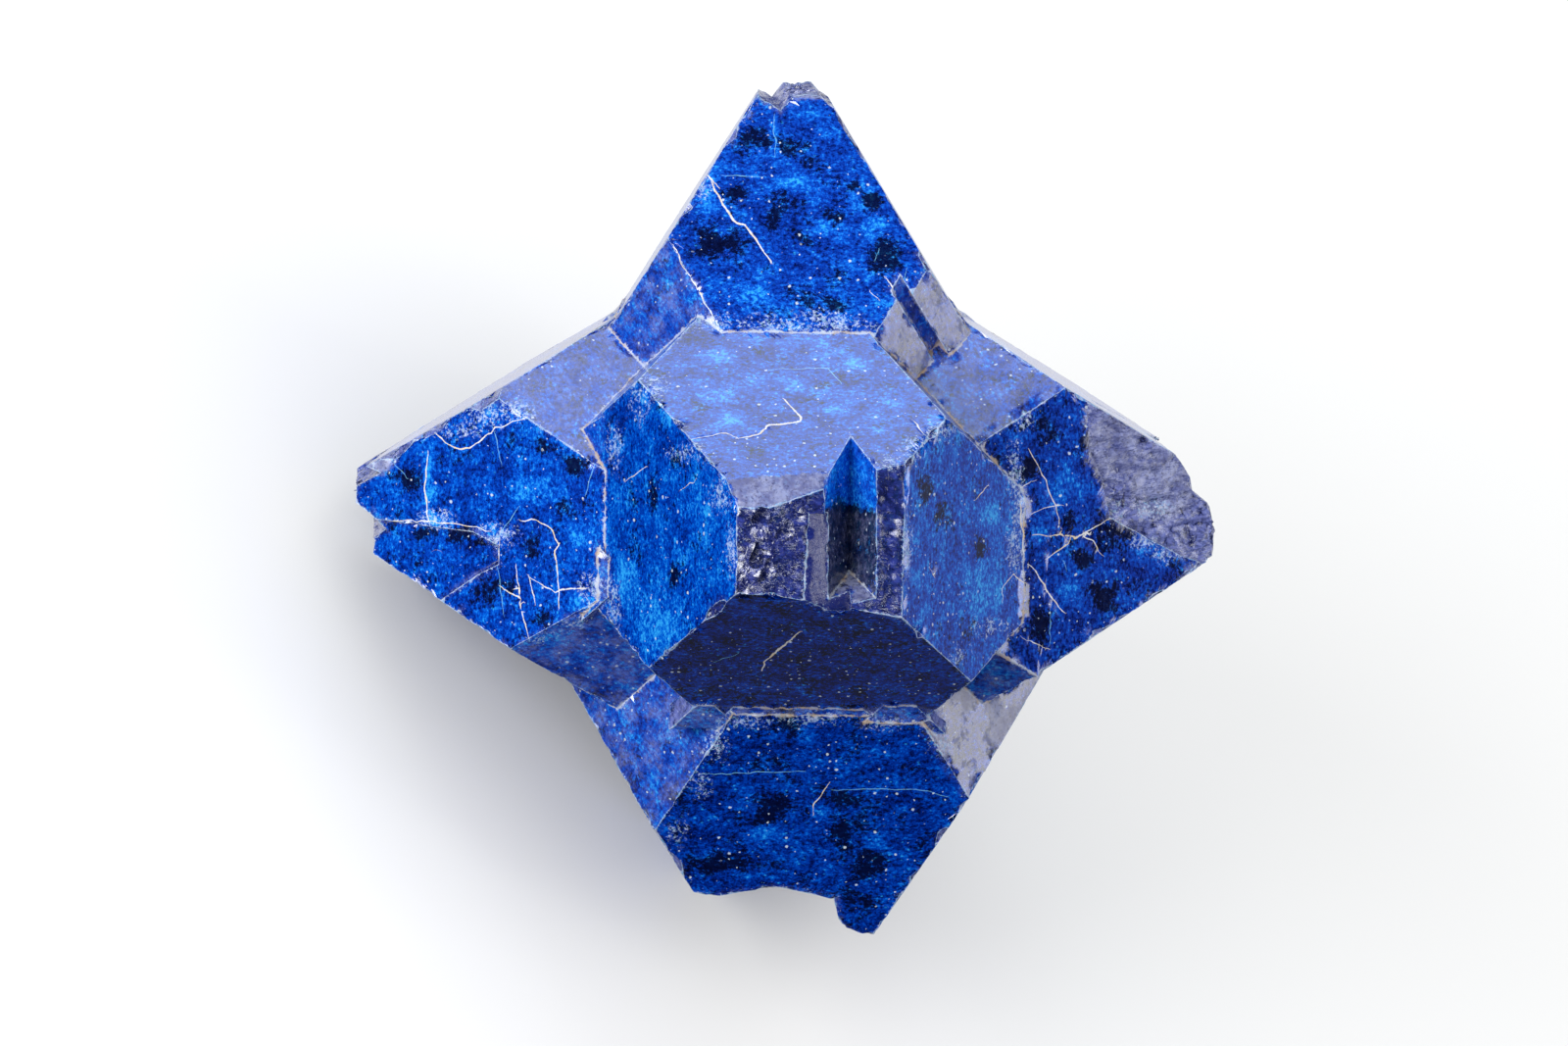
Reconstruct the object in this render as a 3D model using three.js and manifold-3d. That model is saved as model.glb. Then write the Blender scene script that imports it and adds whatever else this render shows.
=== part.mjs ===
// A star of cumengeite: six square pyramids grown outwards from one centre and joined in one body.
// It is shaped standing up, with +X right, +Y up and +Z to the front, and is laid down at the end.
import * as THREE from 'three';
import { ConvexGeometry } from 'three/addons/geometries/ConvexGeometry.js';
import { ConvexHull } from 'three/addons/math/ConvexHull.js';
import { mergeVertices } from 'three/addons/utils/BufferGeometryUtils.js';
import Module from 'manifold-3d';

const wasm = await Module();
wasm.setup();

// Cell edges of cumengeite, which set how steep a pyramid face is
const CELL_A = 15.1;
const CELL_C = 24.5;
const SLOPE = Math.atan2(CELL_A, CELL_C);

const DIRECTION = {
  right: new THREE.Vector3(1, 0, 0),
  left: new THREE.Vector3(-1, 0, 0),
  up: new THREE.Vector3(0, 1, 0),
  down: new THREE.Vector3(0, -1, 0),
  front: new THREE.Vector3(0, 0, 1),
  back: new THREE.Vector3(0, 0, -1),
};

// Each point: how far it reaches, how far its four pyramid faces lie from the centre,
// and how far the four upright faces lie that cut its base corners
const POINTS = {
  up: {
    reach: 10.3,
    faces: { front: 6.21, back: 6.45, left: 6.03, right: 5.6 },
    corners: { front_left: 4.46, front_right: 4.59, back_left: 4.75, back_right: 4.55 },
  },
  down: {
    reach: 9.5,
    faces: { front: 6.31, back: 6.25, left: 6.4, right: 6.58 },
    corners: { front_left: 4.45, front_right: 5.39, back_left: 3.6, back_right: 4.9 },
  },
  left: {
    reach: 10.3,
    faces: { front: 6.55, back: 6.1, up: 6.19, down: 5.81 },
    corners: { front_up: 4.49, front_down: 4.59, back_up: 4.65, back_down: 3.6 },
  },
  right: {
    reach: 9.66,
    faces: { front: 6.36, back: 6.2, up: 5.96, down: 5.61 },
    corners: { front_up: 4.98, front_down: 5.2, back_up: 4.6, back_down: 4.75 },
  },
  front: {
    reach: 9.8,
    faces: { up: 6.2, down: 6.01, left: 6.34, right: 6.61 },
    corners: { up_left: 5.04, up_right: 4.27, down_left: 4.45, down_right: 5.03 },
  },
  back: {
    reach: 9.3,
    faces: { up: 6.3, down: 6.15, left: 6.05, right: 6.4 },
    corners: { up_left: 4.6, up_right: 4.9, down_left: 3.6, down_right: 4.5 },
  },
};
const ROOT = 1;
const FAR = 14;

// Breaks at the four side points, as outlines seen from the front, and how each leans with depth
const BREAKS = [
  {
    outline: [
      [-3, 12], [-1.06, 9.86], [-0.6, 9.54], [-0.36, 9.9], [0.28, 9.93],
      [0.48, 9.7], [0.85, 9.5], [3, 9], [3, 12],
    ],
    lean: [0.06, -0.08],
  },
  {
    outline: [
      [-4, -7.6], [-2.46, -8.24], [-2.2, -8.55], [-1.67, -8.66], [-1, -8.52], [-0.2, -8.41],
      [0.69, -8.6], [1.03, -8.7], [1.14, -9.15], [1.3, -9.42], [2, -9.6], [2, -12], [-4, -12],
    ],
    lean: [-0.05, 0.03],
  },
  {
    outline: [
      [-12, 2], [-9.63, 1.25], [-10.18, 0.88], [-10.2, 0.5], [-9.85, 0.27], [-9.5, -0.03],
      [-9.78, -0.28], [-9.79, -0.68], [-9.4, -1.05], [-12, -2],
    ],
    lean: [0.04, -0.12],
  },
  {
    outline: [
      [12, 3], [8.2, 1.95], [8.75, 1.52], [9.04, 1.1], [9.1, 0.75],
      [9.5, 0.42], [9.64, -0.15], [9.55, -3], [12, -3],
    ],
    lean: [-0.07, 0.1],
  },
];

// Hollow places on the front faces, as outlines seen from the front: their depth below the face at a height
// along the point, and how much deeper they get for each millimetre from there towards the tip
const HOLLOWS = [
  {
    point: 'right',
    side: 'front',
    height: 6.75,
    depth: 0.02,
    fall: 0.085,
    outline: [
      [6.5, 2.9], [6.62, 1.85], [6.9, 1.22], [7.11, 0.3],
      [8.78, -0.63], [9.3, -0.8], [12, -0.8], [12, 3.5],
    ],
  },
  {
    point: 'left',
    side: 'front',
    height: 6.8,
    depth: 0.06,
    fall: 0,
    outline: [
      [-12, -0.03], [-9.5, -0.05], [-7.4, -0.2], [-6.83, -0.47], [-6.8, -0.9],
      [-7.3, -1.18], [-8.2, -1.85], [-9, -3], [-12, -3],
    ],
  },
];

// The broken front point: where the break passes, which way it faces, the bevel above it,
// and the three-sided notch that runs down it to a shelf, with a ridge cut along its left side
const FRONT_BREAK = { at: [0, 0, 9.58], facing: [0.31, 0.02, 1] };
const FRONT_BEVEL = { at: [-0.6, 1.58, 9.26], facing: [0.05, 0.6, 0.8] };
const NOTCH = { x: 1.11, floor: 7.95, bottom: -0.62, left: 0.4, right: 0.52, shelf: 0.45 };
const RIDGE = { at: [0.16, 0, 9.53], facing: [0.63, 0, 0.77], top: 0.75, bottom: -1.4 };

// The slot between two bars on the front right corner of the top point
const BAR_SLOT = { from: 4.6, to: 4.95, inner: 4.22, outer: 4.4 };

// Chips that can be seen on the front edges: the point, the two faces of the edge, the place and the size
const SEEN_CHIPS = [
  { point: 'left', sides: ['front', 'up'], along: 8.0, size: 0.75 },
  { point: 'left', sides: ['front', 'up'], along: 7.05, size: 0.6 },
  { point: 'left', sides: ['front', 'up'], along: 9.1, size: 0.4 },
  { point: 'left', sides: ['front', 'down'], along: 8.55, size: 0.3 },
  { point: 'right', sides: ['front', 'up'], along: 8.5, size: 0.5 },
  { point: 'right', sides: ['front', 'up'], along: 7.6, size: 0.42 },
  { point: 'right', sides: ['front', 'down'], along: 8.9, size: 0.3 },
  { point: 'up', sides: ['front', 'right'], along: 9.2, size: 0.4 },
  { point: 'front', sides: ['up', 'right'], along: 8.7, size: 0.4 },
  { point: 'front', sides: ['down', 'left'], along: 9.2, size: 0.35 },
  { point: 'front', sides: ['down', 'right'], along: 8.4, size: 0.35 },
];
const CHIPS_PER_EDGE = 4;
const CHIP_SMALL = 0.12;
const CHIP_LARGE = 0.34;
const CHIP_CORNERS = 14;
const BITE_LIFT = 0.75;

// Broken ends with a hackly surface: how high the break is, which part of it is struck,
// and the number of bites with their smallest and largest size
const ROUGH_ENDS = [
  { point: 'up', height: 9.72, sides: { right: [-0.3, 0.5], front: [-1.2, 0.8] }, bites: 7, sizes: [0.14, 0.3] },
  { point: 'down', height: 8.62, sides: { right: [-2, 0.2], front: [-1.9, 1.5] }, bites: 14, sizes: [0.3, 0.65] },
  { point: 'left', height: 9.85, sides: { up: [-0.6, 0.9], front: [-1, 1.2] }, bites: 9, sizes: [0.16, 0.4] },
  { point: 'right', height: 9.4, sides: { up: [-0.3, 1.3], front: [-1.4, 1.3] }, bites: 12, sizes: [0.2, 0.5] },
  { point: 'front', height: 9.62, sides: { right: [-1, 0.1], up: [-0.9, 1] }, bites: 8, sizes: [0.12, 0.26] },
];

// Low ledges in the furrows between two points: where along the furrow and how proud
const LEDGES = [
  { points: ['front', 'down'], span: [-1.5, 1.6], proud: 0.03 },
  { points: ['front', 'down'], span: [1.75, 2.9], proud: 0.07 },
  { points: ['front', 'down'], span: [-2.4, -1.7], proud: 0.06 },
  { points: ['front', 'left'], span: [-1.6, -0.5], proud: 0.04 },
  { points: ['back', 'up'], span: [-1.8, 0.6], proud: 0.06 },
  { points: ['back', 'right'], span: [0.2, 1.9], proud: 0.07 },
  { points: ['right', 'up'], span: [-2.2, -0.6], proud: 0.05 },
  { points: ['left', 'up'], span: [-1.9, 0.3], proud: 0.05 },
];
const LEDGE_SKEW = 0.7;
const LEDGE_REACH = 0.7;

// The direction of the floor, in the standing crystal, once it lies on its left, bottom and back points
const FLOORWARDS = new THREE.Vector3(-1, -1, -1).normalize();

// Evenly spread numbers from 0 to 1, the same on every run
function dice(seed) {
  let state = seed;
  return () => {
    state = (Math.imul(state, 1664525) + 1013904223) >>> 0;
    return state / 4294967296;
  };
}

// A half space: everything on the inner side of a plane
function within(normal, distance) {
  return { normal: normal.clone(), distance };
}

function pyramidNormal(point, side) {
  const outwards = DIRECTION[side].clone().multiplyScalar(Math.cos(SLOPE));
  return outwards.addScaledVector(DIRECTION[point], Math.sin(SLOPE));
}

function cornerNormal(corner) {
  const [first, second] = corner.split('_');
  return DIRECTION[first].clone().add(DIRECTION[second]).normalize();
}

// The convex body that all the half spaces share, from the points where three of their planes meet
function polyhedron(spaces) {
  const corners = [];
  const matrix = new THREE.Matrix3();
  for (let i = 0; i < spaces.length; i += 1) {
    for (let j = i + 1; j < spaces.length; j += 1) {
      for (let k = j + 1; k < spaces.length; k += 1) {
        const [a, b, c] = [spaces[i], spaces[j], spaces[k]];
        matrix.set(...a.normal.toArray(), ...b.normal.toArray(), ...c.normal.toArray());
        if (Math.abs(matrix.determinant()) < 1e-6) continue;
        const meet = new THREE.Vector3(a.distance, b.distance, c.distance).applyMatrix3(matrix.invert());
        const inside = spaces.every((space) => space.normal.dot(meet) <= space.distance + 1e-6);
        if (inside && corners.every((corner) => corner.distanceTo(meet) > 1e-5)) corners.push(meet);
      }
    }
  }
  return new ConvexGeometry(corners);
}

function everywhere() {
  return Object.values(DIRECTION).map((direction) => within(direction, FAR));
}

// All the space beyond a plane, for cutting a break
function beyond({ at, facing }) {
  const normal = new THREE.Vector3(...facing).normalize();
  const distance = normal.dot(new THREE.Vector3(...at));
  return polyhedron([...everywhere(), within(normal.negate(), -distance)]);
}

// An outline seen from the front, carried through the whole depth and leaning with it
function frontPrism(outline, lean) {
  const shape = new THREE.Shape(outline.map(([x, y]) => new THREE.Vector2(x, y)));
  const geometry = new THREE.ExtrudeGeometry(shape, { depth: 2 * FAR, bevelEnabled: false });
  geometry.translate(0, 0, -FAR);
  return geometry.applyMatrix4(new THREE.Matrix4().makeShear(0, 0, 0, 0, lean[0], lean[1]));
}

function solid(geometry) {
  const bare = new THREE.BufferGeometry();
  bare.setAttribute('position', geometry.getAttribute('position'));
  if (geometry.index) bare.setIndex(geometry.index);
  const merged = mergeVertices(bare, 1e-5);
  const mesh = new wasm.Mesh({
    numProp: 3,
    vertProperties: new Float32Array(merged.getAttribute('position').array),
    triVerts: new Uint32Array(merged.index.array),
  });
  return new wasm.Manifold(mesh);
}

function geometryOf(body) {
  const mesh = body.getMesh();
  const geometry = new THREE.BufferGeometry();
  geometry.setAttribute('position', new THREE.BufferAttribute(new Float32Array(mesh.vertProperties), 3));
  geometry.setIndex(new THREE.BufferAttribute(new Uint32Array(mesh.triVerts), 1));
  return geometry;
}

// One whole pyramid: its four faces, the upright faces at its base corners, its end and its root
function pyramid(point) {
  const { reach, faces, corners } = POINTS[point];
  const axis = DIRECTION[point];
  const spaces = [within(axis, reach), within(axis.clone().negate(), ROOT)];
  for (const [side, distance] of Object.entries(faces)) {
    spaces.push(within(pyramidNormal(point, side), distance));
  }
  for (const [corner, distance] of Object.entries(corners)) {
    spaces.push(within(cornerNormal(corner), distance));
  }
  return solid(polyhedron(spaces));
}

// The hollow below one face of a point, inside an outline seen from the front
function hollow({ point, side, height, depth, fall, outline }) {
  const normal = pyramidNormal(point, side);
  const downhill = DIRECTION[point].clone().multiplyScalar(Math.cos(SLOPE));
  downhill.addScaledVector(DIRECTION[side], -Math.sin(SLOPE));
  const face = POINTS[point].faces[side];
  const width = (face - Math.sin(SLOPE) * height) / Math.cos(SLOPE);
  const hinge = DIRECTION[point].clone().multiplyScalar(height).addScaledVector(DIRECTION[side], width);
  const tilted = normal.clone().addScaledVector(downhill, fall).normalize();
  const floor = tilted.dot(hinge.addScaledVector(normal, -depth));
  const above = polyhedron([...everywhere(), within(tilted.negate(), -floor)]);
  return solid(frontPrism(outline, [0, 0])).intersect(solid(above));
}

// The two bars on the front right corner of the top point: a lower step and the slot beside it
function barSlot() {
  const across = pyramidNormal('up', 'right');
  const outwards = cornerNormal('front_right');
  const step = polyhedron([
    ...everywhere(),
    within(across, BAR_SLOT.from),
    within(outwards.clone().negate(), -BAR_SLOT.outer),
  ]);
  const gap = polyhedron([
    ...everywhere(),
    within(across, BAR_SLOT.to),
    within(across.clone().negate(), -BAR_SLOT.from),
    within(outwards.clone().negate(), -BAR_SLOT.inner),
  ]);
  return solid(step).add(solid(gap));
}

// A half space bounded by a plane through a place, with its outward side given
function facing(outwards, place) {
  const normal = new THREE.Vector3(...outwards).normalize();
  return within(normal, normal.dot(new THREE.Vector3(...place)));
}

// The notch in the broken front point, down to its shelf, and the ridge cut beside it
function frontNotch() {
  const foot = [NOTCH.x, NOTCH.bottom, NOTCH.floor];
  const wedge = polyhedron([
    ...everywhere(),
    facing([-1, 0, -NOTCH.left], foot),
    facing([1, 0, -NOTCH.right], foot),
    facing([0, -1, -NOTCH.shelf], foot),
  ]);
  const ridge = polyhedron([
    ...everywhere(),
    facing([-RIDGE.facing[0], -RIDGE.facing[1], -RIDGE.facing[2]], RIDGE.at),
    within(DIRECTION.right, NOTCH.x),
    within(DIRECTION.up, RIDGE.top),
    within(DIRECTION.down, -RIDGE.bottom),
  ]);
  return solid(wedge).add(solid(ridge));
}

// A chip of stone: the hull of scattered points, longer along the edge that it is struck from
function chip(at, along, size, roll) {
  const corners = [];
  for (let i = 0; i < CHIP_CORNERS; i += 1) {
    const corner = new THREE.Vector3(roll() - 0.5, roll() - 0.5, roll() - 0.5).normalize();
    corners.push(corner.multiplyScalar(size * (0.8 + 0.4 * roll())));
  }
  const geometry = new ConvexGeometry(corners);
  geometry.scale(1, 1, 1.5 + 0.8 * roll());
  geometry.applyQuaternion(new THREE.Quaternion().setFromUnitVectors(DIRECTION.front, along));
  geometry.translate(...at.toArray());
  return solid(geometry);
}

// The place on the edge between two faces of a point, at a height along the point
function edgePlace(point, sides, height) {
  const { faces } = POINTS[point];
  const place = DIRECTION[point].clone().multiplyScalar(height);
  for (const side of sides) {
    const width = (faces[side] - Math.sin(SLOPE) * height) / Math.cos(SLOPE);
    place.addScaledVector(DIRECTION[side], width);
  }
  return place;
}

function edgeChip({ point, sides, along, size }, roll) {
  const at = edgePlace(point, sides, along);
  const direction = edgePlace(point, sides, along + 1).sub(at).normalize();
  const outwards = pyramidNormal(point, sides[0]).add(pyramidNormal(point, sides[1])).normalize();
  return chip(at.addScaledVector(outwards, size * 0.6), direction, size, roll);
}

// The chips that the photograph shows, and smaller ones spread along every edge
function chips() {
  const roll = dice(20261);
  const cut = SEEN_CHIPS.map((seen) => edgeChip(seen, roll));
  for (const [point, { reach, faces, corners }] of Object.entries(POINTS)) {
    for (const [corner, distance] of Object.entries(corners)) {
      const sides = corner.split('_');
      const both = faces[sides[0]] + faces[sides[1]];
      const start = (both - Math.SQRT2 * distance * Math.cos(SLOPE)) / (2 * Math.sin(SLOPE));
      for (let i = 0; i < CHIPS_PER_EDGE; i += 1) {
        const along = start + (reach - 0.4 - start) * (i + roll()) / CHIPS_PER_EDGE;
        const size = CHIP_SMALL + (CHIP_LARGE - CHIP_SMALL) * roll() ** 2;
        cut.push(edgeChip({ point, sides, along, size }, roll));
      }
    }
  }
  return cut;
}

// Shallow bites out of a broken end, each struck in its own direction
function roughEnd({ point, height, sides, bites, sizes }, roll) {
  return Array.from({ length: bites }, () => {
    const size = sizes[0] + (sizes[1] - sizes[0]) * roll();
    const at = DIRECTION[point].clone().multiplyScalar(height + BITE_LIFT * size);
    for (const [side, [from, to]] of Object.entries(sides)) {
      at.addScaledVector(DIRECTION[side], from + (to - from) * roll());
    }
    const along = new THREE.Vector3(roll() - 0.5, roll() - 0.5, roll() - 0.5).normalize();
    return chip(at, along, size, roll);
  });
}

// A low ledge that fills the bottom of the furrow between two points
function ledge({ points, span, proud }) {
  const [p, q] = points.map((point) => DIRECTION[point]);
  const [first, second] = [POINTS[points[0]].faces[points[1]], POINTS[points[1]].faces[points[0]]];
  const middle = p.clone().add(q).normalize();
  const lateral = p.clone().sub(q).normalize();
  const lengthwise = p.clone().cross(q);
  if (lengthwise.x + lengthwise.y + lengthwise.z < 0) lengthwise.negate();
  const spread = Math.hypot(1, LEDGE_SKEW);
  const ends = [1, -1].map((way) => {
    const end = lateral.clone().multiplyScalar(LEDGE_SKEW);
    return end.addScaledVector(lengthwise, way).normalize();
  });
  const height = (first + second) / (Math.SQRT2 * (Math.cos(SLOPE) + Math.sin(SLOPE)));
  const shift = (second - first) / (Math.SQRT2 * (Math.cos(SLOPE) - Math.sin(SLOPE)));
  return solid(polyhedron([
    within(middle, height + proud),
    within(middle.clone().negate(), -height + LEDGE_REACH),
    within(lateral, shift + LEDGE_REACH),
    within(lateral.clone().negate(), LEDGE_REACH - shift),
    within(ends[0], (span[1] + LEDGE_SKEW * shift) / spread),
    within(ends[1], (-span[0] + LEDGE_SKEW * shift) / spread),
  ]));
}

// The whole star: each point with its own breaks, then joined, ledged and chipped
function star() {
  const points = Object.fromEntries(Object.keys(POINTS).map((point) => [point, pyramid(point)]));
  ['up', 'down', 'left', 'right'].forEach((point, i) => {
    points[point] = points[point].subtract(solid(frontPrism(BREAKS[i].outline, BREAKS[i].lean)));
  });
  for (const place of HOLLOWS) points[place.point] = points[place.point].subtract(hollow(place));
  points.up = points.up.subtract(barSlot());
  points.front = points.front.subtract(solid(beyond(FRONT_BREAK)));
  points.front = points.front.subtract(solid(beyond(FRONT_BEVEL)));
  points.front = points.front.subtract(frontNotch());
  let body = Object.values(points).reduce((whole, point) => whole.add(point));
  for (const place of LEDGES) body = body.add(ledge(place));
  const roll = dice(11);
  const bites = ROUGH_ENDS.flatMap((end) => roughEnd(end, roll));
  for (const struck of [...chips(), ...bites]) body = body.subtract(struck);
  return geometryOf(body);
}

// Lays the star on the side of its convex hull that looks floorwards, with the front point turned to -Y
function layDown(mesh) {
  const hull = new ConvexHull().setFromObject(mesh);
  const facing = (side) => side.normal.dot(FLOORWARDS);
  const floor = hull.faces.reduce((best, side) => (facing(side) > facing(best) ? side : best));
  const lay = new THREE.Quaternion().setFromUnitVectors(floor.normal, DIRECTION.back);
  const front = DIRECTION.front.clone().applyQuaternion(lay);
  const bearing = Math.atan2(front.y, front.x);
  const turn = new THREE.Quaternion().setFromAxisAngle(DIRECTION.front, -Math.PI / 2 - bearing);
  mesh.quaternion.copy(turn.multiply(lay));
  mesh.updateMatrixWorld(true);
  const box = new THREE.Box3().setFromObject(mesh, true);
  mesh.position.set(-(box.min.x + box.max.x) / 2, -(box.min.y + box.max.y) / 2, -box.min.z);
}

const crystal = new THREE.Mesh(
  star(),
  new THREE.MeshStandardMaterial({ color: 0x0b3fae, roughness: 0.25, flatShading: true }),
);
crystal.name = 'crystal';
layDown(crystal);

const part = new THREE.Group();
part.add(crystal);
export default part;
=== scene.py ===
# A star of cumengeite crystals lying on a plain pale floor, seen as in its photograph.
import math

import bpy
import numpy as np
from mathutils import Matrix


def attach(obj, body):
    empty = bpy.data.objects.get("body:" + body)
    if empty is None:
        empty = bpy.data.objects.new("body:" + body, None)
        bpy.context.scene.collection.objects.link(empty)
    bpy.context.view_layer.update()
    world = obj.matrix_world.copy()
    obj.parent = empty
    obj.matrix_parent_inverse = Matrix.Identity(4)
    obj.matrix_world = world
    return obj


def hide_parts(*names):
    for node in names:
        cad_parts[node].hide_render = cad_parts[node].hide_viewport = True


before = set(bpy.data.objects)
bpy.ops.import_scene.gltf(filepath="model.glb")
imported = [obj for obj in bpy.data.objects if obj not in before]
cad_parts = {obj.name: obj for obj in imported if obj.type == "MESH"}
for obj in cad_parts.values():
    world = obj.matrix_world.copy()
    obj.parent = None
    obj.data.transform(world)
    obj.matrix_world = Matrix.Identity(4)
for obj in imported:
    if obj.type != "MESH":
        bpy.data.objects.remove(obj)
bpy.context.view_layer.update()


# The crystal's own axes. It grew with six points, here called right, up and front with their opposites,
# and it lies tipped over on the floor. All its features are worked out in millimetres along these axes.
RIGHT = np.array([0.658621, 0.437035, 0.612551])
UP = np.array([-0.752474, 0.382525, 0.536150])
FRONT = np.array([0.0, -0.814049, 0.580797])
CENTRE = np.array([-0.147990, -0.003323, 7.273225])
LAID = np.stack([RIGHT, UP, FRONT], axis=1)
MM = 0.001


def standing(row):
    """Metres in the lying frame to millimetres along the crystal's own axes."""
    return (row / MM - CENTRE) @ LAID


def lying(point):
    """Millimetres along the crystal's own axes to metres in the lying frame."""
    return (point @ LAID.T + CENTRE) * MM


# The camera. It looks straight at the front point from a little above it, with a long lens,
# which in the lying pose means from well above the floor.
CAMERA_RISE = math.radians(4.1)
CAMERA_TURN = math.radians(-0.36)
CAMERA_ROLL = math.radians(-0.71)
CAMERA_PLACE = np.array([-0.303, -0.131, 204.96])
LENS = 203.6
SENSOR = 36.0
NEAREST_SEEN = 0.005
FARTHEST_SEEN = 10.0


def camera_axes(rise, turn, roll):
    """Three rows, the camera's right, up and back along the crystal's axes: a turn about up, then a rise,
    then a roll."""
    ct, st = math.cos(turn), math.sin(turn)
    cr, sr = math.cos(rise), math.sin(rise)
    cl, sl = math.cos(roll), math.sin(roll)
    turned = np.array([[ct, 0, -st], [0, 1, 0], [st, 0, ct]])
    risen = np.array([[1, 0, 0], [0, cr, -sr], [0, sr, cr]])
    rolled = np.array([[cl, -sl, 0], [sl, cl, 0], [0, 0, 1]])
    return rolled @ risen @ turned


axes = camera_axes(CAMERA_RISE, CAMERA_TURN, CAMERA_ROLL)
lens = bpy.data.cameras.new("camera")
lens.sensor_width = SENSOR
lens.lens = LENS
lens.clip_start = NEAREST_SEEN
lens.clip_end = FARTHEST_SEEN
camera = bpy.data.objects.new("camera", lens)
bpy.context.scene.collection.objects.link(camera)
turned_axes = LAID @ axes.T
camera_matrix = np.eye(4)
camera_matrix[:3, :3] = turned_axes
camera_matrix[:3, 3] = lying(CAMERA_PLACE @ axes)
camera.matrix_world = Matrix(camera_matrix.tolist())
bpy.context.scene.camera = camera


# The crystal. One solid body of deep blue cumengeite, whose flat pyramid faces are glassy and mottled,
# with worn edges, hackly breaks and fine cream cracks. It is the CAD body, more finely divided and worn.
SLOPE = math.atan2(15.1, 24.5)
# The faces seen from the front, named by their point and the way they turn: the direction that each looks in
# and its distance from the centre
FACE_PLANES = {
    "up_front": ([0, math.sin(SLOPE), math.cos(SLOPE)], 6.21),
    "down_front": ([0, -math.sin(SLOPE), math.cos(SLOPE)], 6.31),
    "left_front": ([-math.sin(SLOPE), 0, math.cos(SLOPE)], 6.55),
    "right_front": ([math.sin(SLOPE), 0, math.cos(SLOPE)], 6.36),
    "front_up": ([0, math.cos(SLOPE), math.sin(SLOPE)], 6.2),
    "front_down": ([0, -math.cos(SLOPE), math.sin(SLOPE)], 6.01),
    "front_left": ([-math.cos(SLOPE), 0, math.sin(SLOPE)], 6.34),
    "front_right": ([math.cos(SLOPE), 0, math.sin(SLOPE)], 6.61),
}
# Each crack's face, its half width, and its bends as seen from the front
CRACKS = [
    ("up_front", 0.04, [(-2.15, 7.97), (-1.85, 7.39), (-1.51, 6.89), (-1.29, 6.87), (-0.68, 6.05)]),
    ("up_front", 0.03, [(-2.93, 6.39), (-1.86, 4.57)]),
    ("up_front", 0.035, [(1.92, 5.72), (2.21, 5.33)]),
    ("up_front", 0.02, [(1.54, 5.43), (1.77, 5.26)]),
    ("up_front", 0.02, [(-2.15, 7.97), (-1.88, 7.67)]),
    (
        "front_up",
        0.045,
        [(-1.39, 2.32), (-0.91, 2.41), (-0.74, 2.59), (-0.02, 2.67), (-0.02, 2.77), (-0.37, 3.13)],
    ),
    ("front_up", 0.03, [(2.49, 2.72), (2.73, 2.47)]),
    ("front_up", 0.02, [(-2.41, 2.29), (-1.71, 2.44), (-1.39, 2.32)]),
    ("front_left", 0.02, [(-3.93, 1.15), (-3.44, 1.56)]),
    ("front_left", 0.016, [(-2.66, 1.13), (-2.33, 1.41)]),
    ("front_right", 0.02, [(3.92, 0.86), (4.24, 1.18)]),
    ("front_right", 0.02, [(2.9, -0.52), (3.01, -0.75)]),
    ("front_right", 0.022, [(4.62, -1.49), (4.62, -1.14), (4.87, -0.9), (5.2, -1.2)]),
    ("front_right", 0.045, [(5.01, 0.69), (5.07, 0.1), (5.1, -0.43)]),
    ("front_down", 0.045, [(0.04, -1.96), (-0.37, -2.38), (-0.74, -2.76), (-0.8, -2.97)]),
    ("right_front", 0.02, [(5.2, 1.9), (5.59, 1.2), (5.83, 0.59), (6.04, -0.07)]),
    ("right_front", 0.014, [(4.87, 1), (5.37, 1.2)]),
    ("right_front", 0.016, [(5.27, 0.43), (5.56, 0.57), (6.01, 0.63)]),
    ("right_front", 0.024, [(5.34, -0.04), (6.3, -0.1), (6.71, -0.18), (6.94, -0.57)]),
    ("right_front", 0.03, [(5.24, -0.71), (5.61, -1.14), (5.7, -1.41), (6.07, -1.83)]),
    ("right_front", 0.014, [(5.08, -2.35), (5.72, -2.64)]),
    ("right_front", 0.022, [(5.62, -0.61), (6.36, -0.1), (7.13, 0.28)]),
    ("left_front", 0.035, [(-8.45, 1.55), (-8.53, 0.69), (-8.43, 0.03)]),
    (
        "left_front",
        0.028,
        [
            (-6.32, 0.12), (-5.94, 0.17), (-5.6, -0.01), (-5.42, -0.36), (-5.5, -0.48), (-5.41, -1.36),
            (-5.4, -1.8),
        ],
    ),
    (
        "left_front",
        0.026,
        [
            (-8.46, 2.49), (-8.39, 2.11), (-8.16, 1.9), (-7.81, 1.69), (-7.47, 1.71), (-7.02, 2.11),
            (-6.17, 2.51),
        ],
    ),
    ("left_front", 0.02, [(-6.79, -0.37), (-6.79, -0.77), (-7.96, -1.56)]),
    ("left_front", 0.024, [(-6.4, -0.91), (-6.3, -1.75), (-6.09, -2.52)]),
    ("left_front", 0.022, [(-6.11, -1.11), (-5.96, -1.73)]),
    ("left_front", 0.024, [(-6.08, -1.16), (-5.47, -1.45), (-5.14, -1.34), (-4.73, -1.32)]),
    ("left_front", 0.024, [(-6.78, -1.38), (-6.19, -1.74)]),
    ("left_front", 0.022, [(-9.51, -0.08), (-8.48, 0), (-7.41, -0.07), (-7, -0.16)]),
    ("left_front", 0.014, [(-8.27, -0.19), (-8.27, -0.57)]),
    ("left_front", 0.014, [(-8.47, -0.76), (-8.24, -0.66), (-8.13, -0.76)]),
    ("down_front", 0.022, [(0.78, -5.77), (0.43, -6.3), (0.41, -6.52)]),
]
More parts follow.
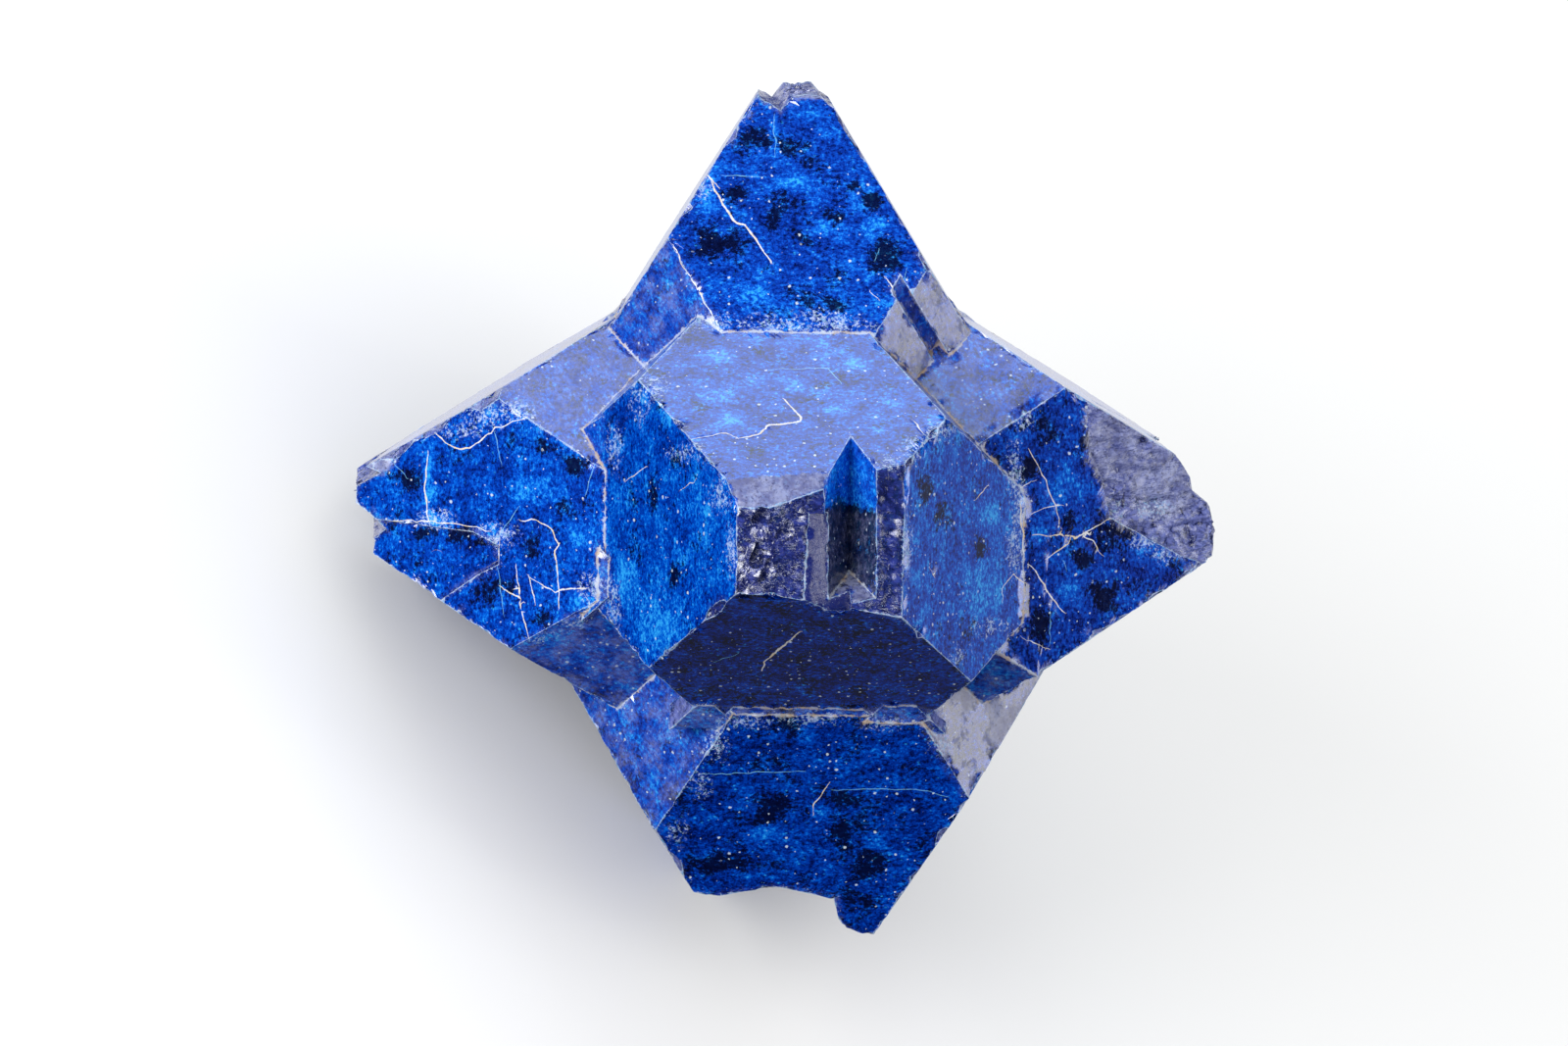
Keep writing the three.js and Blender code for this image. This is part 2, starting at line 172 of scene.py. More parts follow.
# Thin sky blue lines under the surface, all equally wide
VEIN_WIDTH = 0.018
VEINS = [
    ("up_front", [(-0.65, 9.31), (-0.62, 8.39)]),
    ("up_front", [(-1.8, 7.95), (-0.9, 7.94)]),
    ("up_front", [(2.21, 5.33), (2.38, 5.92)]),
    ("up_front", [(1.67, 6.12), (1.76, 6.34)]),
    ("front_up", [(-0.72, 3.71), (-0.11, 3.76), (0.6, 3.76), (0.92, 3.44)]),
    ("front_down", [(-1.87, -2.78), (-1.33, -2.54)]),
    ("right_front", [(5.75, -1.82), (5.74, -2.53)]),
    ("right_front", [(6.03, -0.62), (6.1, -0.85)]),
    ("left_front", [(-6.98, 2.23), (-6.74, 1.37)]),
    ("left_front", [(-6.33, 0.46), (-6.77, -0.24)]),
    ("left_front", [(-6.83, -0.93), (-6.66, -2.04)]),
    ("left_front", [(-4.61, 1.57), (-4.82, 0.78)]),
    ("left_front", [(-9.36, 1.39), (-8.95, 0.96)]),
    ("down_front", [(0.85, -5.94), (1.98, -5.88), (2.74, -5.91), (3.5, -6.07)]),
    ("down_front", [(-2.14, -5.59), (0.19, -5.49)]),
]
# Spots on the faces, as seen from the front: the two places of the middle and the two half widths
DARK_SPOTS = {
    "up_front": [
        (-0.64, 8.67, 0.59, 0.2), (0.32, 8.13, 0.29, 0.2), (-0.54, 7.6, 0.23, 0.2),
        (0.59, 7.83, 0.16, 0.18), (1.56, 7.47, 0.29, 0.2), (1.18, 7.77, 0.2, 0.14),
        (-1.84, 6.43, 0.61, 0.54), (-0.62, 7.05, 0.2, 0.27), (0.69, 7.07, 0.29, 0.23),
        (-0.02, 6.6, 0.2, 0.23), (1.94, 6.19, 0.39, 0.32), (0.08, 5.37, 0.45, 0.23),
        (0.77, 5.1, 0.34, 0.16), (-1.09, 8.88, 0.32, 0.16), (-1.5, 7.57, 0.27, 0.14),
    ],
    "left_front": [
        (-8.95, 0.96, 0.39, 0.2), (-8.55, -0.25, 0.27, 0.18), (-8.65, -1, 0.14, 0.27),
        (-7.68, -0.27, 0.32, 0.2), (-6.45, 2.03, 0.27, 0.32), (-5.73, 1.8, 0.27, 0.2),
        (-5.05, 1.44, 0.25, 0.23), (-5.38, 0.53, 0.25, 0.2), (-8.22, 1.34, 0.18, 0.18),
        (-6.98, -1.57, 0.36, 0.36), (-6.49, -1.47, 0.18, 0.18), (-7.22, -0.42, 0.23, 0.23),
        (-5.98, -0.55, 0.23, 0.23), (-5.85, -2.1, 0.2, 0.2),
    ],
    "right_front": [
        (5.81, 2.26, 0.2, 0.16), (6.56, 2.13, 0.18, 0.23), (6.18, 0.29, 0.14, 0.2),
        (7.05, -0.06, 0.45, 0.29), (5.48, -2.08, 0.27, 0.39), (7.07, -1.47, 0.45, 0.32),
        (6.49, -0.62, 0.18, 0.23), (5.09, 1.43, 0.23, 0.32),
    ],
    "down_front": [
        (-0.46, -6.39, 0.45, 0.32), (1.21, -6.15, 0.41, 0.23), (1.35, -6.79, 0.57, 0.41),
        (1.73, -7.63, 0.45, 0.45), (-1.79, -7.75, 0.5, 0.27), (-0.22, -4.31, 0.2, 0.27),
        (1.6, -8.8, 0.32, 0.32),
    ],
    "front_left": [
        (-3.62, -0.31, 0.2, 0.36), (-2.75, 1.78, 0.18, 0.32), (-2.72, -0.73, 0.18, 0.36),
        (-3.3, 0.94, 0.18, 0.32),
    ],
    "front_right": [
        (3.15, 0.74, 0.2, 0.41), (4.07, -0.23, 0.18, 0.32), (2.8, 1.22, 0.23, 0.41),
        (3.76, -1.96, 0.2, 0.27),
    ],
}
SKY_SPOTS = {
    "front_up": [
        (0.55, 4.07, 0.36, 0.14), (1.22, 3.89, 0.36, 0.11), (-1.9, 3.19, 0.3, 0.16),
        (-2.84, 2.77, 0.27, 0.14), (-0.19, 3.37, 0.36, 0.11), (-1.62, 2.67, 0.32, 0.14),
        (2.07, 3.03, 0.3, 0.11), (-1.9, 3.97, 0.32, 0.11), (0.7, 2.9, 0.3, 0.1),
    ],
    "up_front": [
        (-2.19, 7.49, 0.18, 0.32), (-0.23, 7.91, 0.41, 0.23), (0.47, 6.8, 0.16, 0.14),
        (1.27, 7.38, 0.23, 0.14), (-1.27, 5.33, 0.36, 0.18), (1.6, 6.88, 0.27, 0.18),
        (-0.64, 8.6, 0.09, 0.5),
    ],
    "left_front": [
        (-8.21, -0.01, 0.41, 0.16), (-6.95, -0.16, 0.29, 0.18), (-7.02, 2.47, 0.23, 0.2),
        (-4.73, -1.65, 0.39, 0.23), (-8.44, 0.81, 0.09, 0.72), (-6.1, 0.83, 0.54, 0.27),
        (-4.97, -0.11, 0.32, 0.32),
    ],
    "right_front": [
        (8.2, -0.39, 0.5, 0.36), (6.01, 0.96, 0.45, 0.36), (5.45, -0.02, 0.18, 0.18),
        (6.04, -1.27, 0.32, 0.27),
    ],
    "down_front": [
        (1.74, -4.97, 0.23, 0.16), (0.59, -6.52, 0.2, 0.18), (1.92, -7.17, 0.27, 0.18),
        (0.34, -4.73, 0.23, 0.14), (-0.79, -7.01, 0.36, 0.18),
    ],
    "front_left": [
        (-3.04, -1.99, 0.36, 0.5), (-3.84, -1, 0.23, 0.45),
    ],
    "front_right": [
        (4.09, -1.12, 0.36, 0.5), (4.3, 0.41, 0.23, 0.36),
    ],
}
PALE_SPOTS = {
    "right_front": [
        (7.2, 1.93, 0.59, 0.72), (8.41, 1, 0.72, 0.72),
    ],
    "up_front": [
        (0.3, 9.85, 0.5, 0.14),
    ],
    "left_front": [
        (-9.64, 1.35, 0.36, 0.32),
    ],
}
CRUST_SPOTS = {
    "left_front": [
        (-7.02, 2.45, 0.5, 0.23), (-6.46, 2.63, 0.41, 0.18), (-7.7, 2.08, 0.41, 0.14),
        (-4.72, -2.21, 0.5, 0.2), (-5.39, -2.58, 0.57, 0.16), (-4.1, 1.93, 0.23, 0.45),
        (-4.17, -1.73, 0.18, 0.57), (-8.25, 0.04, 0.36, 0.2), (-6.82, -0.22, 0.41, 0.23),
        (-4.62, -1.31, 0.27, 0.32),
    ],
    "up_front": [
        (-0.38, 4.66, 0.91, 0.14), (0.73, 4.66, 0.79, 0.14), (-2.15, 4.72, 0.57, 0.14),
        (-2.28, 7.66, 0.16, 0.23), (0.51, 4.8, 0.6, 0.16),
    ],
    "front_left": [
        (-2.75, 1.9, 0.25, 0.12), (-3.55, 3.22, 0.3, 0.16), (-1.76, 1.13, 0.18, 0.36),
        (-3.65, 2.77, 0.2, 0.2), (-1.53, -0.03, 0.08, 0.5),
    ],
    "front_right": [
        (2.45, 2.23, 0.23, 0.27), (4.33, -2.03, 0.4, 0.14), (3.7, -2.6, 0.3, 0.12),
        (3.12, 2.5, 0.32, 0.18), (4.86, 1.46, 0.16, 0.57), (4.89, -0.32, 0.18, 0.57),
        (2.37, -0.04, 0.11, 0.57),
    ],
    "front_up": [
        (-2.6, 1.95, 0.4, 0.2), (-3.3, 3.3, 0.23, 0.27), (3.05, 2.5, 0.27, 0.16),
        (1.95, 1.85, 0.23, 0.14),
    ],
    "right_front": [
        (7.9, -0.3, 0.3, 0.14), (8.4, -0.6, 0.27, 0.14), (7.27, 0.47, 0.23, 0.2),
        (5.08, 2.54, 0.16, 0.2), (4.99, 0.55, 0.14, 0.68), (8.19, 0.45, 0.36, 0.2),
    ],
    "down_front": [
        (-1.16, -4.28, 0.57, 0.14), (0.39, -4.21, 0.68, 0.14), (1.95, -4.31, 0.45, 0.14),
        (-1.82, -4.88, 0.23, 0.32), (3.29, -4.81, 0.23, 0.27), (-2.14, -5.83, 0.18, 0.32),
        (-2.69, -7.04, 0.14, 0.32),
    ],
}
# How much lighter or darker than the mean each face is: painted light and shade for how the light falls on
# it, darkest on the face that looks down
FACE_SHADING = {
    "up_front": -0.012,
    "down_front": -0.07,
    "left_front": -0.005,
    "right_front": -0.05,
    "front_up": 0.0,
    "front_down": -0.12,
    "front_left": 0.033,
    "front_right": 0.03,
}
# Faces with a look of their own, the clean cuts in the broken front point among them: which way they look, a
# place on them, how light they are, as painted light and shade, and how pale, partly frost and partly a
# painted reflection
CLEAN_CUTS = {
    "bottom_corner": ([1, 0, 1], [3.811, 0, 3.811], -0.12, 0.62),
    "outer_bar": ([1, 0, 1], [3.246, 0, 3.246], -0.1, 0.32),
    "inner_bar": ([1, 0, 1], [3.111, 0, 3.111], -0.1, 0.32),
    "bevel": ([0.05, 0.6, 0.8], [-0.6, 1.58, 9.26], 0.0, 0.6),
    "notch_left": ([1, 0, 0.4], [1.11, 0, 7.95], 0.06, 0.0),
    "notch_right": ([-1, 0, 0.52], [1.11, 0, 7.95], 0.1, 0.0),
    "shelf": ([0, 1, 0.45], [0, -0.62, 7.95], -0.2, 0.45),
}
RIDGE_FACING = np.array([0.63, 0, 0.77]) / math.hypot(0.63, 0.77)
RIDGE_PLACE = RIDGE_FACING @ [0.16, 0, 9.53]
RANDOM_TONE = 0.05
TONE_SEED = 3
# The side on which the right point's break runs out into its face without an edge
SOFT_RIM = ("right_front", [5.9, 0.4], [7.1, 2.7])
RIM_DEPTH = 0.2
# The notch's painted shade and sheen: where they fade in towards its deep lower end, and how strong they are
NOTCH_LIT_FROM = 0.7
NOTCH_LIT_TO = 1.0
NOTCH_SHADE = 1.7
NOTCH_SHEEN = 0.24
PATCHINESS = 0.8
SAME_PLACE = 0.0005
SAME_FACE = 0.4
SAME_CUT = 0.1
SLIVER = 0.006
SLIVER_ROUNDS = 4
TINY = 1e-12
FLAT_COSINE = math.cos(math.radians(1.2))
SHARP_COSINE = math.cos(math.radians(10))
STEEP_COSINE = math.cos(math.radians(22))
GROWN_COSINE = math.cos(math.radians(1.0))
CUT_COSINE = math.cos(math.radians(2.0))
FINEST_AT_EDGE = 0.11
FINEST_AT_CRACK = 0.11
FINEST_AT_SPOT = 0.2
FINEST_ON_BREAK = 0.13
FINEST_ON_FRONT_BREAK = 0.065
FRONT_FACING = 0.5
COARSEST = 0.45
COARSER_BY = 0.6
FARTHEST_FELT = 2.0
ALLOWED_EXCESS = 1.4
ROUNDS = 14
MOST_CORNERS = 4000000
FACET_BATCH = 400000
BATCH = 2000000
HIDDEN_CRACKS = 45
HIDDEN_SEED = 7
HIDDEN_WIDTHS = (0.012, 0.03)
HIDDEN_STEPS = (0.15, 0.8)
HIDDEN_TURN = 0.5
HIDDEN_BELOW = 0.1
CRACK_LAYERS = 3
CRACK_STEP = 0.16
CRACK_WANDER = 0.02
TEAR_STRETCH = np.diag([0.5, 1.5, 1.0])


def merged(co, tri):
    """One vertex for all that share a place, and no triangle with two equal corners."""
    cell = np.round(co / SAME_PLACE).astype(np.int64)
    _, first, back = np.unique(cell, axis=0, return_index=True, return_inverse=True)
    tri = back.reshape(-1)[tri]
    whole = (tri[:, 0] != tri[:, 1]) & (tri[:, 1] != tri[:, 2]) & (tri[:, 2] != tri[:, 0])
    return co[first], tri[whole]


def normals_of(co, tri):
    """Unit normals and areas: half the cross product of two sides."""
    cross = np.cross(co[tri[:, 1]] - co[tri[:, 0]], co[tri[:, 2]] - co[tri[:, 0]])
    double = np.linalg.norm(cross, axis=1)
    return cross / np.maximum(double, TINY)[:, None], double / 2


def edge_pairs(tri):
    """Every edge once, with its two corners, its two triangles and the corner across from it in each."""
    ends = np.concatenate([tri[:, [0, 1]], tri[:, [1, 2]], tri[:, [2, 0]]])
    across = np.concatenate([tri[:, 2], tri[:, 0], tri[:, 1]])
    owner = np.tile(np.arange(len(tri)), 3)
    low, high = ends.min(1), ends.max(1)
    order = np.lexsort((high, low))
    low, high, across, owner = low[order], high[order], across[order], owner[order]
    same = (low[1:] == low[:-1]) & (high[1:] == high[:-1])
    at = np.nonzero(same)[0]
    return np.stack([low[at], high[at]], 1), owner[at], owner[at + 1], across[at], across[at + 1]


def facets_of(co, tri):
    """A number for each flat facet: triangles that meet without a bend take the smallest number among them,
    and a thin sliver takes the number of its neighbour over its longest side."""
    normal, area = normals_of(co, tri)
    ends, one, two, _, _ = edge_pairs(tri)
    side = np.linalg.norm(co[tri] - co[np.roll(tri, -1, axis=1)], axis=2).max(1)
    sliver = 2 * area / side < SLIVER
    level = ((normal[one] * normal[two]).sum(1) > FLAT_COSINE) & ~sliver[one] & ~sliver[two]
    label = np.arange(len(tri))
    while True:
        before = label.copy()
        least = np.minimum(label[one[level]], label[two[level]])
        np.minimum.at(label, one[level], least)
        np.minimum.at(label, two[level], least)
        label = label[label]
        if (label == before).all():
            break
    length = np.linalg.norm(co[ends[:, 0]] - co[ends[:, 1]], axis=1)
    for _ in range(SLIVER_ROUNDS):
        for near, away in ((one, two), (two, one)):
            use = np.nonzero(sliver[near] & ~sliver[away])[0]
            use = use[np.argsort(length[use])]
            label[near[use]] = label[away[use]]
            sliver = sliver.copy()
            sliver[near[use]] = False
    _, label = np.unique(label, return_inverse=True)
    total = np.zeros((label.max() + 1, 3))
    np.add.at(total, label, normal * area[:, None])
    return label, total / np.linalg.norm(total, axis=1)[:, None]


def sharp_edges(co, tri, label, facing):
    """The edges between two facets at an angle: their end places, the two facets, and whether they stand out
    and bend steeply."""
    ends, one, two, _, over_two = edge_pairs(tri)
    a, b = label[one], label[two]
    bent = (a != b) & ((facing[a] * facing[b]).sum(1) < SHARP_COSINE)
    ends, a, b, over = ends[bent], a[bent], b[bent], over_two[bent]
    convex = ((co[over] - co[ends[:, 0]]) * facing[a]).sum(1) < 0
    steep = (facing[a] * facing[b]).sum(1) < STEEP_COSINE
    return co[ends[:, 0]], co[ends[:, 1]], a, b, convex, steep


def segment_distance(points, start, end):
    """Distance from each point to each segment: the point is dropped on the line and kept between
    its ends."""
    along = end - start
    length = np.maximum((along * along).sum(1), TINY)
    reach = points @ along.T - (start * along).sum(1)
    share = np.clip(reach / length, 0, 1)
    apart = (points * points).sum(1)[:, None] - 2 * points @ start.T + (start * start).sum(1)
    apart += share * (share * length - 2 * reach)
    return np.sqrt(np.maximum(apart, 0))


def facet_distance(points, label, start, end, one, two, far):
    """Distance from each point to the nearest of the given edges that bound the point's own facet."""
    distance = np.full(len(points), far)
    facet = np.concatenate([one, two])
    start, end = np.concatenate([start, start]), np.concatenate([end, end])
    order = np.argsort(facet, kind="stable")
    facet, start, end = facet[order], start[order], end[order]
    rank = np.argsort(label, kind="stable")
    ranked = label[rank]
    for number in np.unique(facet):
        here = rank[np.searchsorted(ranked, number) : np.searchsorted(ranked, number, side="right")]
        low, high = np.searchsorted(facet, number), np.searchsorted(facet, number, side="right")
        for part in np.array_split(here, max(1, len(here) * (high - low) // FACET_BATCH)):
            if len(part):
                near = segment_distance(points[part], start[low:high], end[low:high]).min(1)
                distance[part] = np.minimum(distance[part], near)
    return distance


def nearest(points, start, end, far):
    """Distance from each point to the nearest of all the segments, worked out a few thousand points
    at a time."""
    distance = np.full(len(points), far)
    for part in np.array_split(np.arange(len(points)), max(1, len(points) * len(start) // BATCH)):
        distance[part] = np.minimum(distance[part], segment_distance(points[part], start, end).min(1))
    return distance


def divided(co, tri, label, wanted):
    """Every edge longer than wanted at its middle is halved, and the longest edge of each triangle that
    has one, round after round, so that the triangles stay well shaped and share their corners."""
    short = np.zeros(0, np.int64)
    for _ in range(ROUNDS):
        corner = np.stack([tri, tri[:, [1, 2, 0]]], axis=2)
        low, high = corner.min(2), corner.max(2)
        key, back = np.unique(low.astype(np.int64) * MOST_CORNERS + high, return_inverse=True)
        back = back.reshape(tri.shape)
        ends = np.stack([key // MOST_CORNERS, key % MOST_CORNERS], 1)
        length = np.linalg.norm(co[ends[:, 0]] - co[ends[:, 1]], axis=1)
        owner = np.zeros(len(key), int)
        owner[back.ravel()] = np.repeat(label, 3)
        middle = (co[ends[:, 0]] + co[ends[:, 1]]) / 2
        cut = np.zeros(len(key), bool)
        open_edge = np.nonzero(~np.isin(key, short, assume_unique=True))[0]
        cut[open_edge] = length[open_edge] > ALLOWED_EXCESS * wanted(middle[open_edge], owner[open_edge])
        short = key[~cut]
        longest = back[np.arange(len(tri)), length[back].argmax(1)]
        while True:
            need = cut[back].any(1) & ~cut[longest]
            if not need.any():
                break
            cut[longest[need]] = True
        if not cut.any():
            break
        fresh = np.full(len(key), -1)
        fresh[cut] = len(co) + np.arange(cut.sum())
        co = np.concatenate([co, middle[cut]])
        turn = (length[back].argmax(1)[:, None] + np.arange(3)) % 3
        rows = np.arange(len(tri))[:, None]
        a, b, c = tri[rows, turn].T
        m, n, k = fresh[back[rows, turn]].T
        none, right, left = m < 0, (m >= 0) & (n >= 0), (m >= 0) & (k >= 0)
        plain_right, plain_left = (m >= 0) & (n < 0), (m >= 0) & (k < 0)
        pieces = [
            (none, (a, b, c)),
            (plain_left, (a, m, c)),
            (left, (a, m, k)),
            (left, (k, m, c)),
            (plain_right, (m, b, c)),
            (right, (m, b, n)),
            (right, (m, n, c)),
        ]
        tri = np.concatenate([np.stack([v[where] for v in corners], 1) for where, corners in pieces])
        label = np.concatenate([label[where] for where, _ in pieces])
    return co, tri, label


def jagged(line, normal, dice):
    """A bent line broken into short steps, whose joints are moved a little to either side at random."""
    steps = np.ceil(np.linalg.norm(np.diff(line, axis=0), axis=1) / CRACK_STEP).astype(int)
    corners = np.concatenate([[0], np.cumsum(steps)])
    along = np.arange(corners[-1] + 1)
    fine = np.column_stack([np.interp(along, corners, line[:, axis]) for axis in range(3)])
    side = np.cross(normal, np.gradient(fine, axis=0))
    side /= np.linalg.norm(side, axis=1)[:, None]
    moved = dice.normal(0, CRACK_WANDER, len(fine)) * (along > 0) * (along < corners[-1])
    return fine + side * moved[:, None]


def on_face(face, places):
    """Places given as seen from the front, dropped on the plane of the face that they lie on."""
    normal, distance = FACE_PLANES[face]
    flat = np.array(places)
    return np.column_stack([flat, (distance - flat @ np.array(normal[:2])) / normal[2]])


def drawn_lines(cracks, seed):
    """The cracks that can be seen: a jagged line, the face's direction and the half width of each."""
    dice = np.random.default_rng(seed)
    found = []
    for face, width, places in cracks:
        normal = np.array(FACE_PLANES[face][0])
        found.append((jagged(on_face(face, places), normal, dice), normal, width))
    return found


def hidden_lines(co, tri, label, facing, many):
    """Short bent lines on the faces that the photograph doesn't show: a start anywhere on them by area,
    and a walk of a few steps in the plane of the face, each turned a little from the last."""
    dice = np.random.default_rng(HIDDEN_SEED)
    _, area = normals_of(co, tri)
    weight = np.where(facing[label][:, 2] < HIDDEN_BELOW, area, 0)
    found = []
    for chosen in dice.choice(len(tri), many, p=weight / weight.sum()):
        normal = facing[label[chosen]]
        first = np.cross(normal, dice.normal(size=3))
        first /= np.linalg.norm(first)
        turn = np.cumsum(dice.normal(0, HIDDEN_TURN, 3))[:, None]
        step = dice.uniform(*HIDDEN_STEPS, 3)[:, None]
        walk = step * (np.cos(turn) * first + np.sin(turn) * np.cross(normal, first))
        start = dice.dirichlet([1, 1, 1]) @ co[tri[chosen]]
        line = start + np.concatenate([np.zeros((1, 3)), np.cumsum(walk, axis=0)])
        found.append((jagged(line, normal, dice), normal, dice.uniform(*HIDDEN_WIDTHS)))
    return found


def steps_of(found):
    """All lines as short straight steps: start, end, the direction to the line's left over the step and at
    its two ends, where it is the sum of the steps that meet, and the half width, which a sine narrows
    towards the line's ends."""
    rows = []
    for line, normal, width in found:
        side = np.cross(normal, np.diff(line, axis=0))
        side /= np.linalg.norm(side, axis=1)[:, None]
        before = side + np.concatenate([side[:1], side[:-1]])
        after = side + np.concatenate([side[1:], side[-1:]])
        taper = np.sin(np.linspace(0.12, 0.88, len(side)) * math.pi)
        half = width * (0.25 + 0.6 * taper)
        rows.append(np.column_stack([line[:-1], line[1:], side, before, after, half]))
    rows = np.concatenate(rows)
    return rows[:, :3], rows[:, 3:6], rows[:, 6:9], rows[:, 9:12], rows[:, 12:15], rows[:, 15]


def line_sides(points, steps):
    """For each point, its distance from the nearest line, and the same counted in half widths of that line
    and negative on the line's right, so that it is exactly 0 on the line between two points of the mesh."""
    start, end, side, before, after, width = steps
    number = np.zeros(len(points), int)
    distance = np.zeros(len(points))
    for part in np.array_split(np.arange(len(points)), max(1, len(points) * len(start) // BATCH)):
        apart = segment_distance(points[part], start, end)
        number[part] = apart.argmin(1)
        distance[part] = apart.min(1)
    along = (end - start)[number]
    share = ((points - start[number]) * along).sum(1) / (along * along).sum(1)
    foot = start[number] + np.clip(share, 0, 1)[:, None] * along
    left = np.where(share[:, None] > 1, after[number], side[number])
    left = np.where(share[:, None] < 0, before[number], left)
    sign = np.where(((points - foot) * left).sum(1) < 0, -1.0, 1.0)
    return distance, sign * distance / width[number]


def grown_normals():
    """The directions of the pyramid faces, each a point's own direction tipped towards one of its sides,
    with the way that their fine lines run, square to both, and of the corner faces, halfway between two."""
    steep, shallow = math.cos(SLOPE), math.sin(SLOPE)
    sides = np.concatenate([np.eye(3), -np.eye(3)])
    pairs = [(p, s) for p in sides for s in sides if abs(p @ s) < 0.5]
    pyramid = np.array([shallow * p + steep * s for p, s in pairs])
    lines = np.array([np.cross(p, s) for p, s in pairs])
    corner = np.array([(p + s) / math.sqrt(2) for p, s in pairs])
    return pyramid, lines, corner


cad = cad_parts["crystal"].data
cad.calc_loop_triangles()
cad_co = np.empty(len(cad.vertices) * 3)
cad.vertices.foreach_get("co", cad_co)
cad_tri = np.empty(len(cad.loop_triangles) * 3, int)
cad.loop_triangles.foreach_get("vertices", cad_tri)
co, tri = merged(standing(cad_co.reshape(-1, 3)), cad_tri.reshape(-1, 3))
label, facing = facets_of(co, tri)
edge_start, edge_end, edge_one, edge_two, convex, steep = sharp_edges(co, tri, label, facing)
facet_place = np.zeros(len(facing))
facet_place[label] = (co[tri].mean(1) * facing[label]).sum(1)

pyramid, lines, corner_faces = grown_normals()
pyramid_match = facing @ pyramid.T
is_pyramid = pyramid_match.max(1) > GROWN_COSINE
is_corner = (facing @ corner_faces.T).max(1) > GROWN_COSINE
is_broken = ~(is_pyramid | is_corner)
facet_tone_and_shade = np.random.default_rng(TONE_SEED).uniform(-RANDOM_TONE, RANDOM_TONE, len(facing))
# The faces seen from the front take their painted light and shade in place of their random lightness
for face, face_shading in FACE_SHADING.items():
    normal, distance = FACE_PLANES[face]
    same = (facing @ np.array(normal) > GROWN_COSINE) & (np.abs(facet_place - distance) < SAME_FACE)
    facet_tone_and_shade[same] = face_shading
is_ridge = (facing @ RIDGE_FACING > CUT_COSINE) & (np.abs(facet_place - RIDGE_PLACE) < SAME_CUT)
facet_pale = np.zeros(len(facing))
is_patchy = np.zeros(len(facing), bool)
is_notch = np.zeros(len(facing), bool)
# Each clean cut takes its painted light and shade, and its paleness, which is partly a painted reflection
for cut, (normal, place, cut_shading, cut_pale_and_sheen) in CLEAN_CUTS.items():
    normal = np.array(normal) / np.linalg.norm(normal)
    same = (facing @ normal > CUT_COSINE) & (np.abs(facet_place - normal @ place) < SAME_CUT)
    is_notch |= same & cut.startswith("notch")
    is_patchy |= same & (cut == "bottom_corner")
    is_broken[same] = False
    facet_tone_and_shade[same] = cut_shading
    facet_pale[same] = cut_pale_and_sheen

crack_lines = drawn_lines(CRACKS, seed=1) + hidden_lines(co, tri, label, facing, HIDDEN_CRACKS)
crack_layers = [steps_of(crack_lines[layer::CRACK_LAYERS]) for layer in range(CRACK_LAYERS)]
vein_lines = drawn_lines([(face, VEIN_WIDTH, places) for face, places in VEINS], seed=2)
veins = steps_of(vein_lines)
line_start = np.concatenate([steps[0] for steps in crack_layers + [veins]])
line_end = np.concatenate([steps[1] for steps in crack_layers + [veins]])


def spot_list(tables):
    """The middles, on their faces, and the larger half widths of all spots."""
    middle, reach = [], []
    for table in tables:
        for face, spots in table.items():
            spots = np.array(spots)
            middle.append(on_face(face, spots[:, :2]))
            reach.append(spots[:, 2:].max(1))
    return np.concatenate(middle), np.concatenate(reach)


spot_middle, spot_reach = spot_list([DARK_SPOTS, SKY_SPOTS, PALE_SPOTS])


def wanted_length(points, facet):
    """How long an edge may be: short on a break and beside a sharp edge, a crack or a spot, and longer in
    step with the distance from them."""
    edge = facet_distance(points, facet, edge_start, edge_end, edge_one, edge_two, FARTHEST_FELT)
    crack = nearest(points, line_start, line_end, FARTHEST_FELT)
    square = (points * points).sum(1)[:, None] - 2 * points @ spot_middle.T
    square += (spot_middle * spot_middle).sum(1)
    apart = np.sqrt(np.maximum(square, 0))
    spot = np.maximum(apart - spot_reach, 0).min(1)
    fine = np.minimum(FINEST_AT_EDGE + COARSER_BY * edge, FINEST_AT_CRACK + COARSER_BY * crack)
    fine = np.minimum(COARSEST, np.minimum(fine, FINEST_AT_SPOT + COARSER_BY * spot))
    on_break = np.where(facing[facet, 2] > FRONT_FACING, FINEST_ON_FRONT_BREAK, FINEST_ON_BREAK)
    return np.where(is_broken[facet], np.minimum(fine, on_break), fine)


co, tri, label = divided(co, tri, label, wanted_length)

NICK_WIDTH = 0.16
NICK_DEPTH = 0.07
HACKLE = 0.11
GROOVE_WIDTH = 0.06
GROOVE = 0.018
CRUMB_WIDTH = 0.13
CRUMB = 0.05
CRUST_WIDTH = 0.6
# How far forward the painted sheen on the side points' breaks reaches
TIP_SHEEN_FROM = 6.0
TIP_SHEEN_TO = 8.0
SPOT_FADES = 1.6
ON_FACE = 0.3
CREASE = math.radians(24)
GRAIN_SHIFT = np.array([7.31, 3.77])
GRAIN_REPEAT = 50
LAYER_SHIFT = 17.3
WHOLE = 4294967296
MIX_ONE = 2246822519
MIX_TWO = 3266489917


def lattice(cell, seed):
    """A fixed random number from 0 to 1 for each cell of a cubic grid: the cell's three whole numbers are
    multiplied by large odd numbers, joined bit by bit and stirred twice more."""
    mixed = cell.astype(np.uint32) * np.array([374761393, 668265263, MIX_ONE], np.uint32)
    mixed = mixed[..., 0] ^ mixed[..., 1] ^ mixed[..., 2] ^ np.uint32(seed * MIX_TWO % WHOLE)
    mixed = (mixed ^ (mixed >> np.uint32(15))) * np.uint32(MIX_ONE)
    mixed = (mixed ^ (mixed >> np.uint32(13))) * np.uint32(MIX_TWO)
    return (mixed ^ (mixed >> np.uint32(16))).astype(float) / WHOLE


